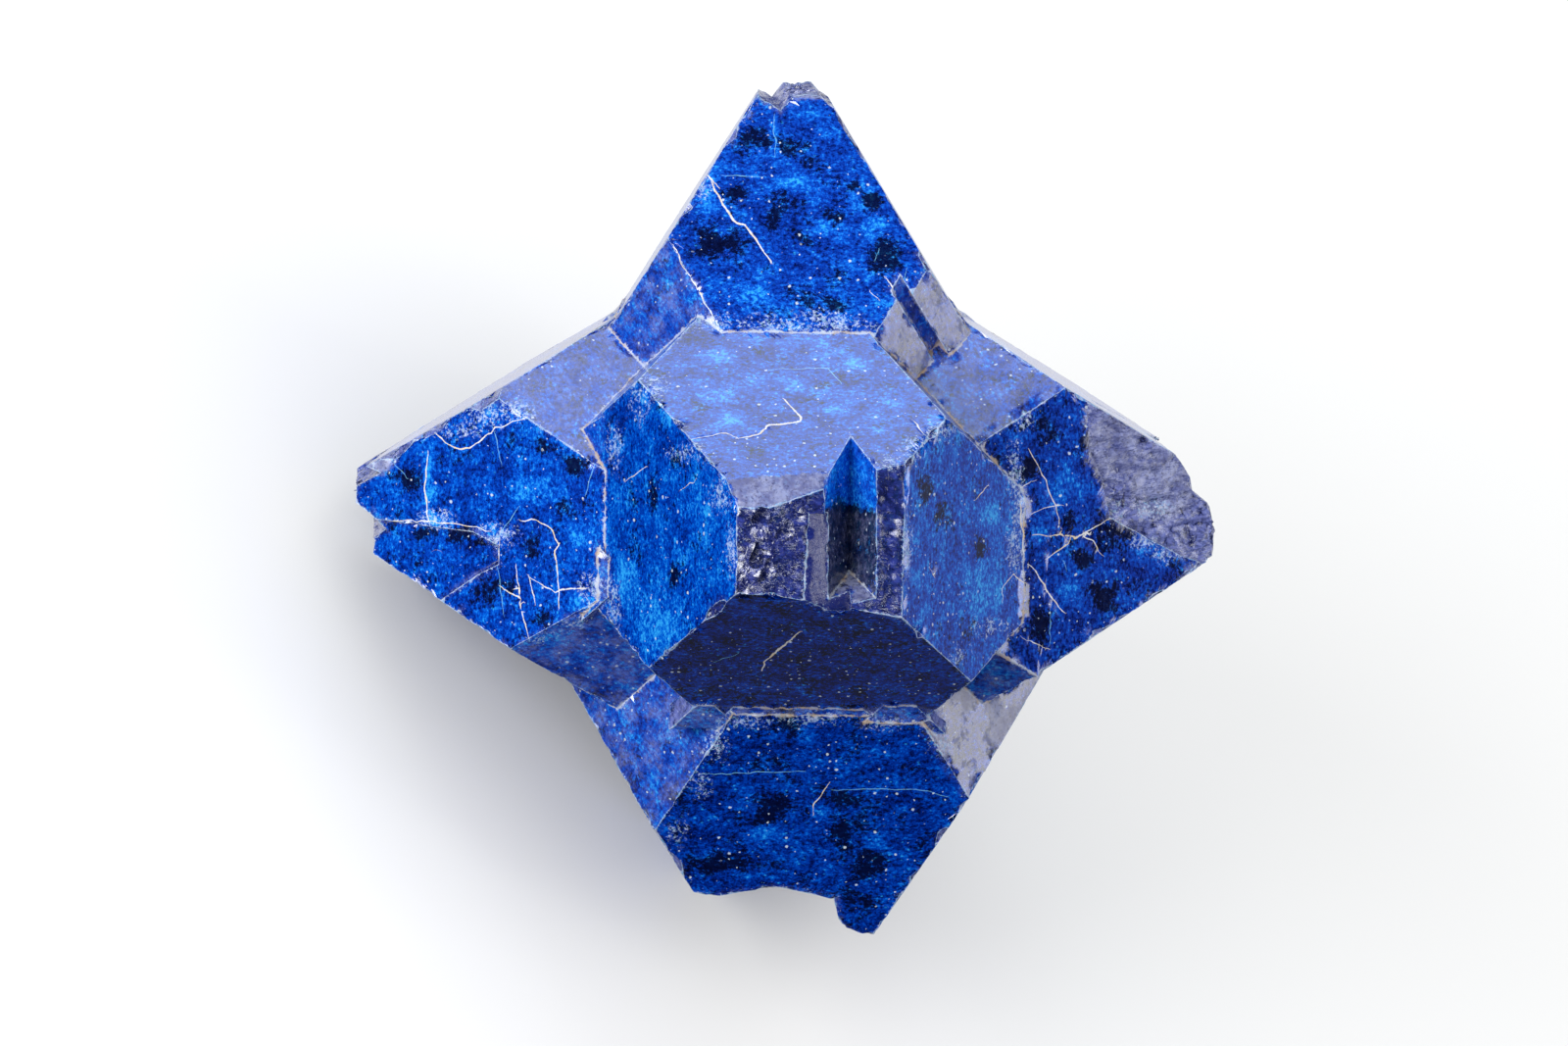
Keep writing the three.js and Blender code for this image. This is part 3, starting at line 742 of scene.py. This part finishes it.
def rough(points, size, seed, layers=3):
    """Layered noise from 0 to 1: random heights at grid corners, blended smoothly, each layer half as wide
    and half as high as the last."""
    total, height, most = np.zeros(len(points)), 1.0, 0.0
    for layer in range(layers):
        scaled = points / size + LAYER_SHIFT * layer
        base = np.floor(scaled).astype(np.int64)
        inside = scaled - base
        ease = inside * inside * (3 - 2 * inside)
        for corner in np.ndindex(2, 2, 2):
            share = np.where(np.array(corner) == 1, ease, 1 - ease).prod(1)
            total += height * share * lattice(base + np.array(corner), seed + layer)
        most += height
        size, height = size / 2, height / 2
    return total / most


def ease_between(low, high, value):
    """0 below low, 1 above high, and a smooth S between them."""
    share = np.clip((value - low) / (high - low), 0, 1)
    return share * share * (3 - 2 * share)


corner_vertex, corner_label = tri.ravel(), np.repeat(label, 3)
pair = np.unique(np.stack([corner_vertex, corner_label], 1), axis=0)


def over_vertices(edges):
    """Distance of each vertex to the nearest of the chosen sharp edges on any facet that it belongs to."""
    chosen = [edge_start[edges], edge_end[edges], edge_one[edges], edge_two[edges]]
    spread = facet_distance(co[pair[:, 0]], pair[:, 1], *chosen, 1.0)
    least = np.full(len(co), 1.0)
    np.minimum.at(least, pair[:, 0], spread)
    return least


def share_of(kind):
    """For each vertex, the mean over its facets of a value, or of 1 and 0 for those of a kind and
    the rest."""
    held, many = np.zeros(len(co)), np.zeros(len(co))
    np.add.at(held, pair[:, 0], kind[pair[:, 1]])
    np.add.at(many, pair[:, 0], 1.0)
    return held / np.maximum(many, 1)


def spot_share(table):
    """For each vertex, 1 at the middle of a spot on its face, falling evenly to 0 some way past the spot's
    rim, where the rim is an ellipse as seen from the front."""
    share = np.zeros(len(co))
    for face, spots in table.items():
        normal, distance = FACE_PLANES[face]
        here = np.nonzero(np.abs(co @ np.array(normal) - distance) < ON_FACE)[0]
        spots = np.array(spots)
        away = (co[here][:, None, :2] - spots[None, :, :2]) / spots[None, :, 2:]
        share[here] = np.maximum(share[here], 1 - np.sqrt((away * away).sum(2)).min(1) / SPOT_FADES)
    return share


grown = ~is_broken
rimmed = grown[edge_one] | grown[edge_two] | (is_ridge[edge_one] != is_ridge[edge_two])
soft_face, soft_low, soft_high = SOFT_RIM
edge_middle = (edge_start + edge_end) / 2
soft_normal, soft_distance = FACE_PLANES[soft_face]
soft = np.abs(edge_middle @ np.array(soft_normal) - soft_distance) < RIM_DEPTH
soft &= (edge_middle[:, :2] > soft_low).all(1) & (edge_middle[:, :2] < soft_high).all(1)
worn_edge = convex & steep & rimmed & ~soft
edge_mm = over_vertices(worn_edge)
furrow = ~convex & grown[edge_one] & grown[edge_two] & ~(is_notch[edge_one] & is_notch[edge_two])
furrow_mm = over_vertices(furrow)
crack_mm, crack_side = zip(*[line_sides(co, steps) for steps in crack_layers])
vein_mm, vein_side = line_sides(co, veins)
broken = share_of(is_broken)
frost = share_of(is_corner)
tone_and_shade = share_of(facet_tone_and_shade)
smooth = share_of(is_ridge)
pale_patches = PATCHINESS * share_of(is_patchy) * ease_between(0.42, 0.58, rough(co, size=0.9, seed=91))
pale_share = np.maximum(spot_share(PALE_SPOTS), share_of(facet_pale) * (1 - pale_patches))

# Painted shade and sheen in the notch: darker towards its deep lower end, with a little painted grey sheen
# there
in_notch = share_of(is_notch) * ease_between(-NOTCH_LIT_TO, -NOTCH_LIT_FROM, -co[:, 1])
dark_share = np.maximum(spot_share(DARK_SPOTS), NOTCH_SHADE * in_notch)
pale_share = np.maximum(pale_share, NOTCH_SHEEN * in_notch)

_, area = normals_of(co, tri)
vertex_normal = np.zeros_like(co)
np.add.at(vertex_normal, tri.ravel(), np.repeat(facing[label] * area[:, None], 3, axis=0))
vertex_normal /= np.maximum(np.linalg.norm(vertex_normal, axis=1), TINY)[:, None]

# Faces turned away from the photograph have the same crust, dark and sky blue patches, placed at random
unseen = ease_between(-0.2, 0.1, -vertex_normal[:, 2])
crust_share = ease_between(0.5, 0.7, rough(co, size=1.1, seed=55)) * np.clip(1 - edge_mm / CRUST_WIDTH, 0, 1)
crust_share = np.maximum(crust_share * unseen, spot_share(CRUST_SPOTS))
dark_share = np.maximum(dark_share, ease_between(0.55, 0.7, rough(co, size=0.7, seed=77)) * unseen)
sky_unseen = ease_between(0.58, 0.75, rough(co, size=0.8, seed=88)) * unseen
sky_share = np.maximum(spot_share(SKY_SPOTS), sky_unseen)

# The real relief: nicks in the edges, hackly breaks, grooves along the cracks and grains in the furrows
nick = ease_between(0.5, 0.72, rough(co, size=0.32, seed=5)) * np.clip(1 - edge_mm / NICK_WIDTH, 0, 1)
torn = co @ TEAR_STRETCH
hackle = 1 - np.abs(2 * rough(torn, size=0.5, seed=31, layers=4) - 1)
groove = np.clip(1 - np.min(crack_mm, axis=0) / GROOVE_WIDTH, 0, 1)
groove *= ease_between(0.25, 0.5, rough(co, size=0.4, seed=12))
crumb = ease_between(0.5, 0.62, rough(co, size=0.3, seed=44)) * np.clip(1 - furrow_mm / CRUMB_WIDTH, 0, 1)
torn_deep = 2 * (1 - hackle) * broken * (1 - smooth) * ease_between(0.0, 0.3, edge_mm)
sink = NICK_DEPTH * nick + HACKLE * torn_deep + GROOVE * groove - CRUMB * crumb
shaped = co - vertex_normal * sink[:, None]

mesh = bpy.data.meshes.new("crystal_body")
place = lying(shaped)
mesh.vertices.add(len(place))
mesh.vertices.foreach_set("co", place.astype(np.float32).ravel())
mesh.loops.add(len(tri) * 3)
mesh.loops.foreach_set("vertex_index", tri.astype(np.int32).ravel())
mesh.polygons.add(len(tri))
mesh.polygons.foreach_set("loop_start", np.arange(0, len(tri) * 3, 3, dtype=np.int32))
mesh.update(calc_edges=True)
mesh.validate()
mesh.shade_smooth()
mesh.set_sharp_from_angle(angle=CREASE)


def keep(name, values):
    """Stores one number for each vertex for the material to read."""
    mesh.attributes.new(name, "FLOAT", "POINT").data.foreach_set("value", values.astype(np.float32))


keep("edge_mm", edge_mm)
keep("furrow_mm", furrow_mm)
for layer in range(CRACK_LAYERS):
    keep(f"crack_mm_{layer}", crack_mm[layer])
    keep(f"crack_side_{layer}", crack_side[layer])
keep("vein_mm", vein_mm)
keep("vein_side", vein_side)
keep("tone_and_shade", tone_and_shade)
keep("dark", dark_share)
keep("sky", sky_share)
keep("pale", pale_share)
keep("crust", crust_share)
keep("broken", broken)
keep("frost", frost)
keep("hackle", hackle)
keep("smooth", smooth)
# Painted sheen: the breaks behind the front point, on the side points, turn more lavender as though they
# caught the light
keep("tip_sheen", broken * ease_between(-TIP_SHEEN_TO, -TIP_SHEEN_FROM, -co[:, 2]))

# A flat map in millimetres on each facet, along its growth lines and across them, shifted on each facet
any_way = np.cross(facing, [0.31, 0.74, 0.59])
line_of = np.where(is_pyramid[:, None], lines[pyramid_match.argmax(1)], any_way)
line_of /= np.linalg.norm(line_of, axis=1)[:, None]
across_of = np.cross(facing, line_of)
shift = np.arange(len(facing))[:, None] * GRAIN_SHIFT % GRAIN_REPEAT
corner_co = co[corner_vertex]
along = (corner_co * line_of[corner_label]).sum(1)
across = (corner_co * across_of[corner_label]).sum(1)
grain = np.column_stack([along, across]) + shift[corner_label]
mesh.uv_layers.new(name="grain").data.foreach_set("uv", grain.astype(np.float32).ravel())

crystal = bpy.data.objects.new("crystal_body", mesh)
bpy.context.scene.collection.objects.link(crystal)
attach(crystal, "root")
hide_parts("crystal")

stone = bpy.data.materials.new("cumengeite")
stone.use_nodes = True
mesh.materials.append(stone)
tree = stone.node_tree
shader = tree.nodes["Principled BSDF"]


def node(kind, settings=None, **inputs):
    """A node with its settings, and with a number or a link on each named input."""
    made = tree.nodes.new(kind)
    for key, value in (settings or {}).items():
        setattr(made, key, value)
    for key, value in inputs.items():
        socket = made.inputs[int(key[1:]) if key[0] == "_" else key.replace("_", " ")]
        if isinstance(value, bpy.types.NodeSocket):
            tree.links.new(value, socket)
        else:
            socket.default_value = value
    return made


def maths(operation, *values):
    """One sum, product or other operation on its values."""
    inputs = {f"_{i}": v for i, v in enumerate(values)}
    return node("ShaderNodeMath", {"operation": operation}, **inputs).outputs[0]


def chained(operation, values):
    """One operation carried along a row of values, from left to right."""
    total = values[0]
    for value in values[1:]:
        total = maths(operation, total, value)
    return total


def plus(*values):
    """The sum of all the values."""
    return chained("ADD", values)


def times(*values):
    """The product of all the values."""
    return chained("MULTIPLY", values)


def largest(*values):
    """The largest of all the values."""
    return chained("MAXIMUM", values)


def between(value, low, high, out_low=0.0, out_high=1.0):
    """One value below low, another above high, and a smooth S between them."""
    settings = {"interpolation_type": "SMOOTHSTEP"}
    given = {"Value": value, "From_Min": low, "From_Max": high, "To_Min": out_low, "To_Max": out_high}
    return node("ShaderNodeMapRange", settings, **given).outputs[0]


def blend(share, first, second):
    """A colour that is the first at share 0 and the second at share 1."""
    return node("ShaderNodeMix", {"data_type": "RGBA"}, _0=share, _6=first, _7=second).outputs[2]


def blend_value(share, first, second):
    """A number that is the first at share 0 and the second at share 1."""
    return node("ShaderNodeMix", {"data_type": "FLOAT"}, _0=share, _2=first, _3=second).outputs[0]


def stretched(vector, x, y, z=1.0):
    """A place with each of its three numbers multiplied, so that a pattern on it is squeezed as much."""
    return node("ShaderNodeVectorMath", {"operation": "MULTIPLY"}, _0=vector, _1=(x, y, z)).outputs[0]


def noise(vector, scale, detail, roughness, distortion=0.0):
    """Cloudy noise from 0 to 1 with scale lumps in a millimetre and finer layers by detail."""
    given = {"Scale": scale, "Detail": detail, "Roughness": roughness, "Distortion": distortion}
    return node("ShaderNodeTexNoise", None, Vector=vector, **given).outputs["Fac"]


def cells(vector, scale, dimensions="3D"):
    """The distance to the nearest of many scattered points, and two random numbers of that point's own."""
    made = node("ShaderNodeTexVoronoi", {"voronoi_dimensions": dimensions}, Vector=vector, Scale=scale)
    pick = node("ShaderNodeSeparateColor", None, Color=made.outputs["Color"])
    return made.outputs["Distance"], pick.outputs[0], pick.outputs[1]


def stored(name):
    """A number kept for each vertex."""
    return node("ShaderNodeAttribute", {"attribute_name": name}).outputs["Fac"]


space = node("ShaderNodeTexCoord").outputs["Object"]
space = node("ShaderNodeVectorMath", {"operation": "SCALE"}, _0=space, Scale=1 / MM).outputs[0]
lined = node("ShaderNodeUVMap", {"uv_map": "grain"}).outputs[0]

# The mottled blue: noise along the lines of each facet, broad patches and fine grit, turned into blues
cloud = noise(space, 0.45, 3.0, 0.5)
gloom = noise(space, 1.5, 8.0, 0.74, 0.15)
blotch = noise(stretched(lined, 1.0, 1.15), 1.7, 9.0, 0.78, 0.2)
grit = noise(stretched(lined, 1.0, 1.25), 9.0, 4.0, 0.8)
patch = noise(space, 1.1, 4.0, 0.6)
tone_and_shade = stored("tone_and_shade")

# Each face's painted light and shade go into the blues here, together with its random lightness
light = plus(blotch, tone_and_shade, times(cloud, 0.25), times(grit, 1.15), times(stored("sky"), 0.18), -0.70)
ramp = node("ShaderNodeValToRGB", None, Fac=light)
BLUES = [
    (0.28, (0.0, 0.004, 0.07)),
    (0.42, (0.0, 0.023, 0.28)),
    (0.53, (0.0, 0.056, 0.50)),
    (0.63, (0.0, 0.13, 0.70)),
    (0.76, (0.03, 0.40, 0.92)),
]
while len(ramp.color_ramp.elements) < len(BLUES):
    ramp.color_ramp.elements.new(0.5)
for element, (position, colour) in zip(ramp.color_ramp.elements, BLUES):
    element.position = position
    element.color = (*colour, 1)
colour = ramp.outputs[0]

# Near black patches inside the stone, with the painted shade deep in the notch among them; faces made
# lighter by painted light have fewer
NEARLY_BLACK = (0.0012, 0.0024, 0.018, 1)
shade = plus(
    gloom, times(stored("dark"), 0.23), times(grit, -0.6), times(tone_and_shade, -0.6), times(stored("sky"), -0.2)
)
shade = between(shade, 0.255, 0.385)
colour = blend(times(shade, 0.93), colour, NEARLY_BLACK)

# Small bright blue sparks in the lighter patches
SPARK_BLUE = (0.03, 0.40, 0.9, 1)
far, pick, _ = cells(stretched(lined, 0.9, 1.3), 7.5)
spark = times(between(far, 0.10, 0.30, 1.0, 0.0), between(pick, 0.66, 0.8))
spark = times(spark, between(plus(blotch, times(shade, -0.1)), 0.42, 0.58))
colour = blend(times(spark, 0.8), colour, SPARK_BLUE)

# White specks of uneven size, in loose clumps
SPECK_WHITE = (0.62, 0.72, 0.84, 1)
sprinkle = noise(space, 13.0, 3.0, 0.8)
far, pick, size = cells(lined, 4.5, "2D")
far = plus(far, times(sprinkle, 0.5), -0.25)
reach = maths("MULTIPLY_ADD", maths("POWER", size, 3.0), 0.15, 0.03)
speck = between(maths("DIVIDE", far, reach), 0.7, 1.1, 1.0, 0.0)
speck = times(speck, between(plus(pick, times(patch, 2.0)), 1.66, 1.76))
colour = blend(times(speck, 0.85), colour, SPECK_WHITE)

# The breaks: violet, with lavender spots that are partly painted sheen, painted shade along dark folds,
# painted glints along thin bright lines, and one smooth ridge
VIOLET_DARK = (0.004, 0.006, 0.05, 1)
VIOLET_LIGHT = (0.028, 0.042, 0.27, 1)
LAVENDER = (0.16, 0.19, 0.50, 1)
FOLD_SHADE = (0.006, 0.008, 0.05, 1)
GLINT_WHITE = (0.60, 0.63, 0.80, 1)
RIDGE_VIOLET = (0.008, 0.014, 0.15, 1)
broken_share = stored("broken")
ragged = noise(space, 5.0, 5.0, 0.75)
shiver = noise(stretched(space, 1.0, 1.6, 1.0), 4.0, 7.0, 0.75, 0.4)
hackle = stored("hackle")
tip_sheen = stored("tip_sheen")
fold = noise(stretched(lined, 0.7, 2.6), 2.2, 6.0, 0.68, 0.3)
fold = between(maths("ABSOLUTE", plus(fold, -0.5)), 0.0, 0.05)
violet = blend(between(shiver, 0.40, 0.62), VIOLET_DARK, VIOLET_LIGHT)
# Painted sheen: more lavender on the hackle crests and on the side points' breaks
lavender = plus(shiver, times(patch, 0.3), times(hackle, 0.25), times(tip_sheen, 0.24))
violet = blend(between(lavender, 0.94, 1.10), violet, LAVENDER)
# Painted shade: the fold lines of the break relief are darkened as though shaded
violet = blend(times(maths("SUBTRACT", 1.0, fold), 0.6), violet, FOLD_SHADE)
# Painted glints: thin bright lines on the breaks that stand in for highlights
glint_line = noise(stretched(lined, 1.0, 2.0), 5.0, 4.0, 0.7, 0.3)
glint_line = between(maths("ABSOLUTE", plus(glint_line, -0.5)), 0.006, 0.02, 1.0, 0.0)
glint = times(glint_line, between(plus(ragged, times(patch, 0.6)), 0.74, 0.90))
violet = blend(times(glint, 0.7), violet, GLINT_WHITE)
violet = blend(times(stored("smooth"), 0.85), violet, RIDGE_VIOLET)
colour = blend(times(broken_share, 0.94), colour, violet)

# The frosted corner faces and pale bruises, bluer where they lie on a break: the paleness is partly real
# frost and bruising and partly painted reflection and sheen
FROST_SHEEN_DARK = (0.13, 0.14, 0.30, 1)
FROST_SHEEN_LIGHT = (0.29, 0.32, 0.52, 1)
BRUISE_DARK = (0.11, 0.13, 0.34, 1)
BRUISE_LIGHT = (0.30, 0.34, 0.62, 1)
FROST_PIT = (0.06, 0.06, 0.13, 1)
smudge = noise(space, 2.2, 7.0, 0.72)
# Corner faces a little paler, partly real frost and partly painted reflection
frost_and_sheen = times(stored("frost"), between(smudge, 0.35, 0.6, 0.04, 0.26))
pale_here = between(plus(stored("pale"), times(shiver, 0.9)), 0.62, 0.95, 0.0, 0.85)
# Painted highlight and shade on the breaks: paler on the hackle crests and less pale in the folds
pale_here = times(pale_here, blend_value(broken_share, 1.0, between(hackle, 0.3, 0.9, 0.3, 1.0)))
pale_here = times(pale_here, blend_value(broken_share, 1.0, between(fold, 0.0, 1.0, 0.25, 1.0)))
frost_and_sheen = largest(frost_and_sheen, pale_here)
frost_sheen_dark = blend(broken_share, FROST_SHEEN_DARK, BRUISE_DARK)
frost_sheen_light = blend(broken_share, FROST_SHEEN_LIGHT, BRUISE_LIGHT)
frost_sheen_colour = blend(between(smudge, 0.42, 0.6), frost_sheen_dark, frost_sheen_light)
frost_sheen_colour = blend(between(sprinkle, 0.36, 0.46), FROST_PIT, frost_sheen_colour)
colour = blend(frost_and_sheen, colour, frost_sheen_colour)

# Worn edges: a thin ragged line of sky blue and white, with dust beside it
EDGE_SKY = (0.12, 0.42, 0.78, 1)
EDGE_WHITE = (0.64, 0.67, 0.78, 1)
worn_here = between(patch, 0.35, 0.65)
edge_mm = stored("edge_mm")
edge_width = times(between(ragged, 0.4, 0.75, 0.010, 0.08), maths("MULTIPLY_ADD", worn_here, 0.9, 0.4))
edge = between(maths("DIVIDE", edge_mm, edge_width), 0.3, 1.0, 1.0, 0.0)
dust_reach = maths("MULTIPLY_ADD", worn_here, -0.45, 0.75)
dust = between(plus(sprinkle, times(edge_mm, dust_reach, -1.0)), 0.585, 0.66)
dust = times(dust, between(edge_mm, 0.12, 0.5, 1.0, 0.0))
edge = largest(times(edge, 0.68), times(dust, 0.8))
edge_colour = blend(between(grit, 0.4, 0.58), EDGE_SKY, EDGE_WHITE)
colour = blend(edge, colour, edge_colour)

# Pale crust in grains
crust = stored("crust")
crusted = between(plus(times(sprinkle, 0.8), times(ragged, 0.4), times(crust, 0.13)), 0.67, 0.75)
crusted = times(crusted, between(crust, 0.0, 0.3))
colour = blend(times(crusted, 0.65), colour, edge_colour)

# Grey and tan filling in the furrows, spilled a little way up the faces
FILL_GREY = (0.52, 0.58, 0.70, 1)
FILL_TAN = (0.55, 0.40, 0.24, 1)
SPILL_SKY = (0.40, 0.55, 0.74, 1)
furrow_mm = stored("furrow_mm")
fill = between(maths("DIVIDE", furrow_mm, between(ragged, 0.38, 0.7, 0.01, 0.13)), 0.3, 1.0, 1.0, 0.0)
spill = between(plus(sprinkle, times(furrow_mm, -0.5)), 0.58, 0.66)
spill = times(spill, between(furrow_mm, 0.1, 0.42, 1.0, 0.0))
fill_colour = blend(between(gloom, 0.47, 0.6), FILL_GREY, FILL_TAN)
colour = blend(times(spill, 0.75), colour, SPILL_SKY)
colour = blend(times(fill, 0.75), colour, fill_colour)

# The sky blue veins and the white and cream cracks
VEIN_SKY = (0.20, 0.55, 0.85, 1)
CRACK_WHITE = (0.76, 0.77, 0.78, 1)
CRACK_CREAM = (0.74, 0.61, 0.42, 1)


def line_mask(side, distance):
    """1 on a crack and 0 off it: the distance in half widths, made ragged, and cut off past the
    crack's end."""
    across = maths("DIVIDE", maths("ABSOLUTE", stored(side)), between(ragged, 0.3, 0.7, 0.4, 1.2))
    inside = between(across, 0.6, 1.1, 1.0, 0.0)
    return times(inside, between(stored(distance), 0.05, 0.09, 1.0, 0.0))


vein = line_mask("vein_side", "vein_mm")
colour = blend(times(vein, 0.7), colour, VEIN_SKY)

crack = line_mask("crack_side_0", "crack_mm_0")
for layer in range(1, CRACK_LAYERS):
    crack = largest(crack, line_mask(f"crack_side_{layer}", f"crack_mm_{layer}"))
crack_colour = blend(between(gloom, 0.46, 0.57), CRACK_WHITE, CRACK_CREAM)
colour = blend(times(crack, 0.92), colour, crack_colour)

# The finish: glassy faces, duller where they are worn or frosted, and fine relief mostly on the breaks
REFRACTION = 2.04
RELIEF_STRENGTH = 0.15
RELIEF_DEPTH = 0.02 * MM
tree.links.new(colour, shader.inputs["Base Color"])
worn = largest(edge, crack, fill, spill, crusted)
dull = times(stored("frost"), between(smudge, 0.52, 0.62, 0.0, 0.3))
finish = plus(times(worn, 0.4), dull, times(pale_here, 0.3), times(broken_share, 0.05))
finish = plus(finish, between(grit, 0.3, 0.7, 0.10, 0.16))
tree.links.new(finish, shader.inputs["Roughness"])
shader.inputs["IOR"].default_value = REFRACTION
relief = plus(times(shiver, 6.0), times(fold, 1.5))
height = plus(times(grit, 0.5), times(relief, broken_share), times(pale_here, shiver))
bump = node("ShaderNodeBump", None, Strength=RELIEF_STRENGTH, Distance=RELIEF_DEPTH, Height=height)
tree.links.new(bump.outputs[0], shader.inputs["Normal"])


# The floor and the light. A plain pale table, a white surround that lights evenly and isn't reflected,
# a broad key panel at the camera's left, and softer panels whose reflections lie on the faces that look up
# and to the right.
FLOOR_HALF = 3.0
FLOOR_WHITE = (0.94, 0.94, 0.94, 1)
FLOOR_ROUGHNESS = 0.8
floor_mesh = bpy.data.meshes.new("floor")
floor_corners = FLOOR_HALF * np.array([(-1, -1, 0), (1, -1, 0), (1, 1, 0), (-1, 1, 0)])
floor_mesh.from_pydata(floor_corners.tolist(), [], [(0, 1, 2, 3)])
floor = bpy.data.objects.new("floor", floor_mesh)
bpy.context.scene.collection.objects.link(floor)
pale = bpy.data.materials.new("pale_floor")
pale.use_nodes = True
pale_shader = pale.node_tree.nodes["Principled BSDF"]
pale_shader.inputs["Base Color"].default_value = FLOOR_WHITE
pale_shader.inputs["Roughness"].default_value = FLOOR_ROUGHNESS
pale_shader.inputs["Specular IOR Level"].default_value = 0.0
floor_mesh.materials.append(pale)
floor.visible_glossy = False
floor.visible_diffuse = False


def panel(name, towards, distance, width, height, radiance):
    """A soft panel of even brightness, placed in a direction along the crystal's axes and turned to its
    centre. Its power is the brightness times pi times its area."""
    towards = np.array(towards) / np.linalg.norm(towards)
    lamp = bpy.data.lights.new(name, "AREA")
    lamp.shape = "RECTANGLE"
    lamp.size, lamp.size_y = width * MM, height * MM
    lamp.energy = radiance * math.pi * width * height * MM * MM
    lamp_object = bpy.data.objects.new(name, lamp)
    bpy.context.scene.collection.objects.link(lamp_object)
    back = LAID @ towards
    side = np.cross([0, 0, 1], back)
    side /= np.linalg.norm(side)
    matrix = np.eye(4)
    matrix[:3, :3] = np.stack([side, np.cross(back, side), back], 1)
    matrix[:3, 3] = lying(towards * distance)
    lamp_object.matrix_world = Matrix(matrix.tolist())
    return lamp_object


COOL_WHITE = (0.85, 0.97, 1.0)
panel("key_panel", [-0.56, 0.26, 0.79], distance=160, width=110, height=90, radiance=9.0)
top = panel("top_panel", [-0.12, 0.98, -0.17], distance=130, width=90, height=90, radiance=1.5)
top.data.color = COOL_WHITE
panel("right_panel", [1, -0.07, 0], distance=130, width=60, height=60, radiance=2.5)
panel("far_panel", [0.89, -0.07, -0.45], distance=140, width=70, height=70, radiance=0.15)


# Cards under the table that only show as reflections: a white one behind, for the faces seen at a glance,
# and a dim one below, for the face that looks down
def card(name, towards, distance, width, height, brightness):
    """A glowing rectangle in a direction along the crystal's axes, square to that direction."""
    towards = np.array(towards) / np.linalg.norm(towards)
    side = np.cross([0, 1, 0.2], towards)
    side *= width / 2 / np.linalg.norm(side)
    rise = np.cross(towards, side)
    rise *= height / 2 / np.linalg.norm(rise)
    middle = towards * distance
    corners = [middle - side - rise, middle + side - rise, middle + side + rise, middle - side + rise]
    card_mesh = bpy.data.meshes.new(name)
    card_mesh.from_pydata(lying(np.array(corners)).tolist(), [], [(0, 1, 2, 3)])
    made = bpy.data.objects.new(name, card_mesh)
    bpy.context.scene.collection.objects.link(made)
    glow = bpy.data.materials.new(name)
    glow.use_nodes = True
    glow_shader = glow.node_tree.nodes["Principled BSDF"]
    glow_shader.inputs["Base Color"].default_value = (0, 0, 0, 1)
    glow_shader.inputs["Emission Color"].default_value = (1, 1, 1, 1)
    glow_shader.inputs["Emission Strength"].default_value = brightness
    glow.cycles.emission_sampling = "NONE"
    card_mesh.materials.append(glow)
    made.visible_camera = False
    made.visible_diffuse = False
    made.visible_shadow = False
    made.visible_transmission = False


card("white_card", [-0.05, 0, -1], distance=45, width=65, height=60, brightness=0.95)
card("dim_card", [0, -0.86, -0.51], distance=60, width=60, height=40, brightness=0.06)

# The surround, dim below the horizon and white above it
SURROUND = {"From Min": -0.1, "From Max": 0.15, "To Min": 0.03, "To Max": 0.75}
world = bpy.data.worlds.new("surround")
world.use_nodes = True
sky = world.node_tree
aim = sky.nodes.new("ShaderNodeTexCoord")
split = sky.nodes.new("ShaderNodeSeparateXYZ")
rise = sky.nodes.new("ShaderNodeMapRange")
for socket, value in SURROUND.items():
    rise.inputs[socket].default_value = value
sky.links.new(aim.outputs["Generated"], split.inputs[0])
sky.links.new(split.outputs["Z"], rise.inputs["Value"])
sky.links.new(rise.outputs[0], sky.nodes["Background"].inputs["Strength"])
sky.nodes["Background"].inputs["Color"].default_value = (1, 1, 1, 1)
bpy.context.scene.world = world
world.cycles_visibility.glossy = False
bpy.context.scene.view_settings.view_transform = "Standard"
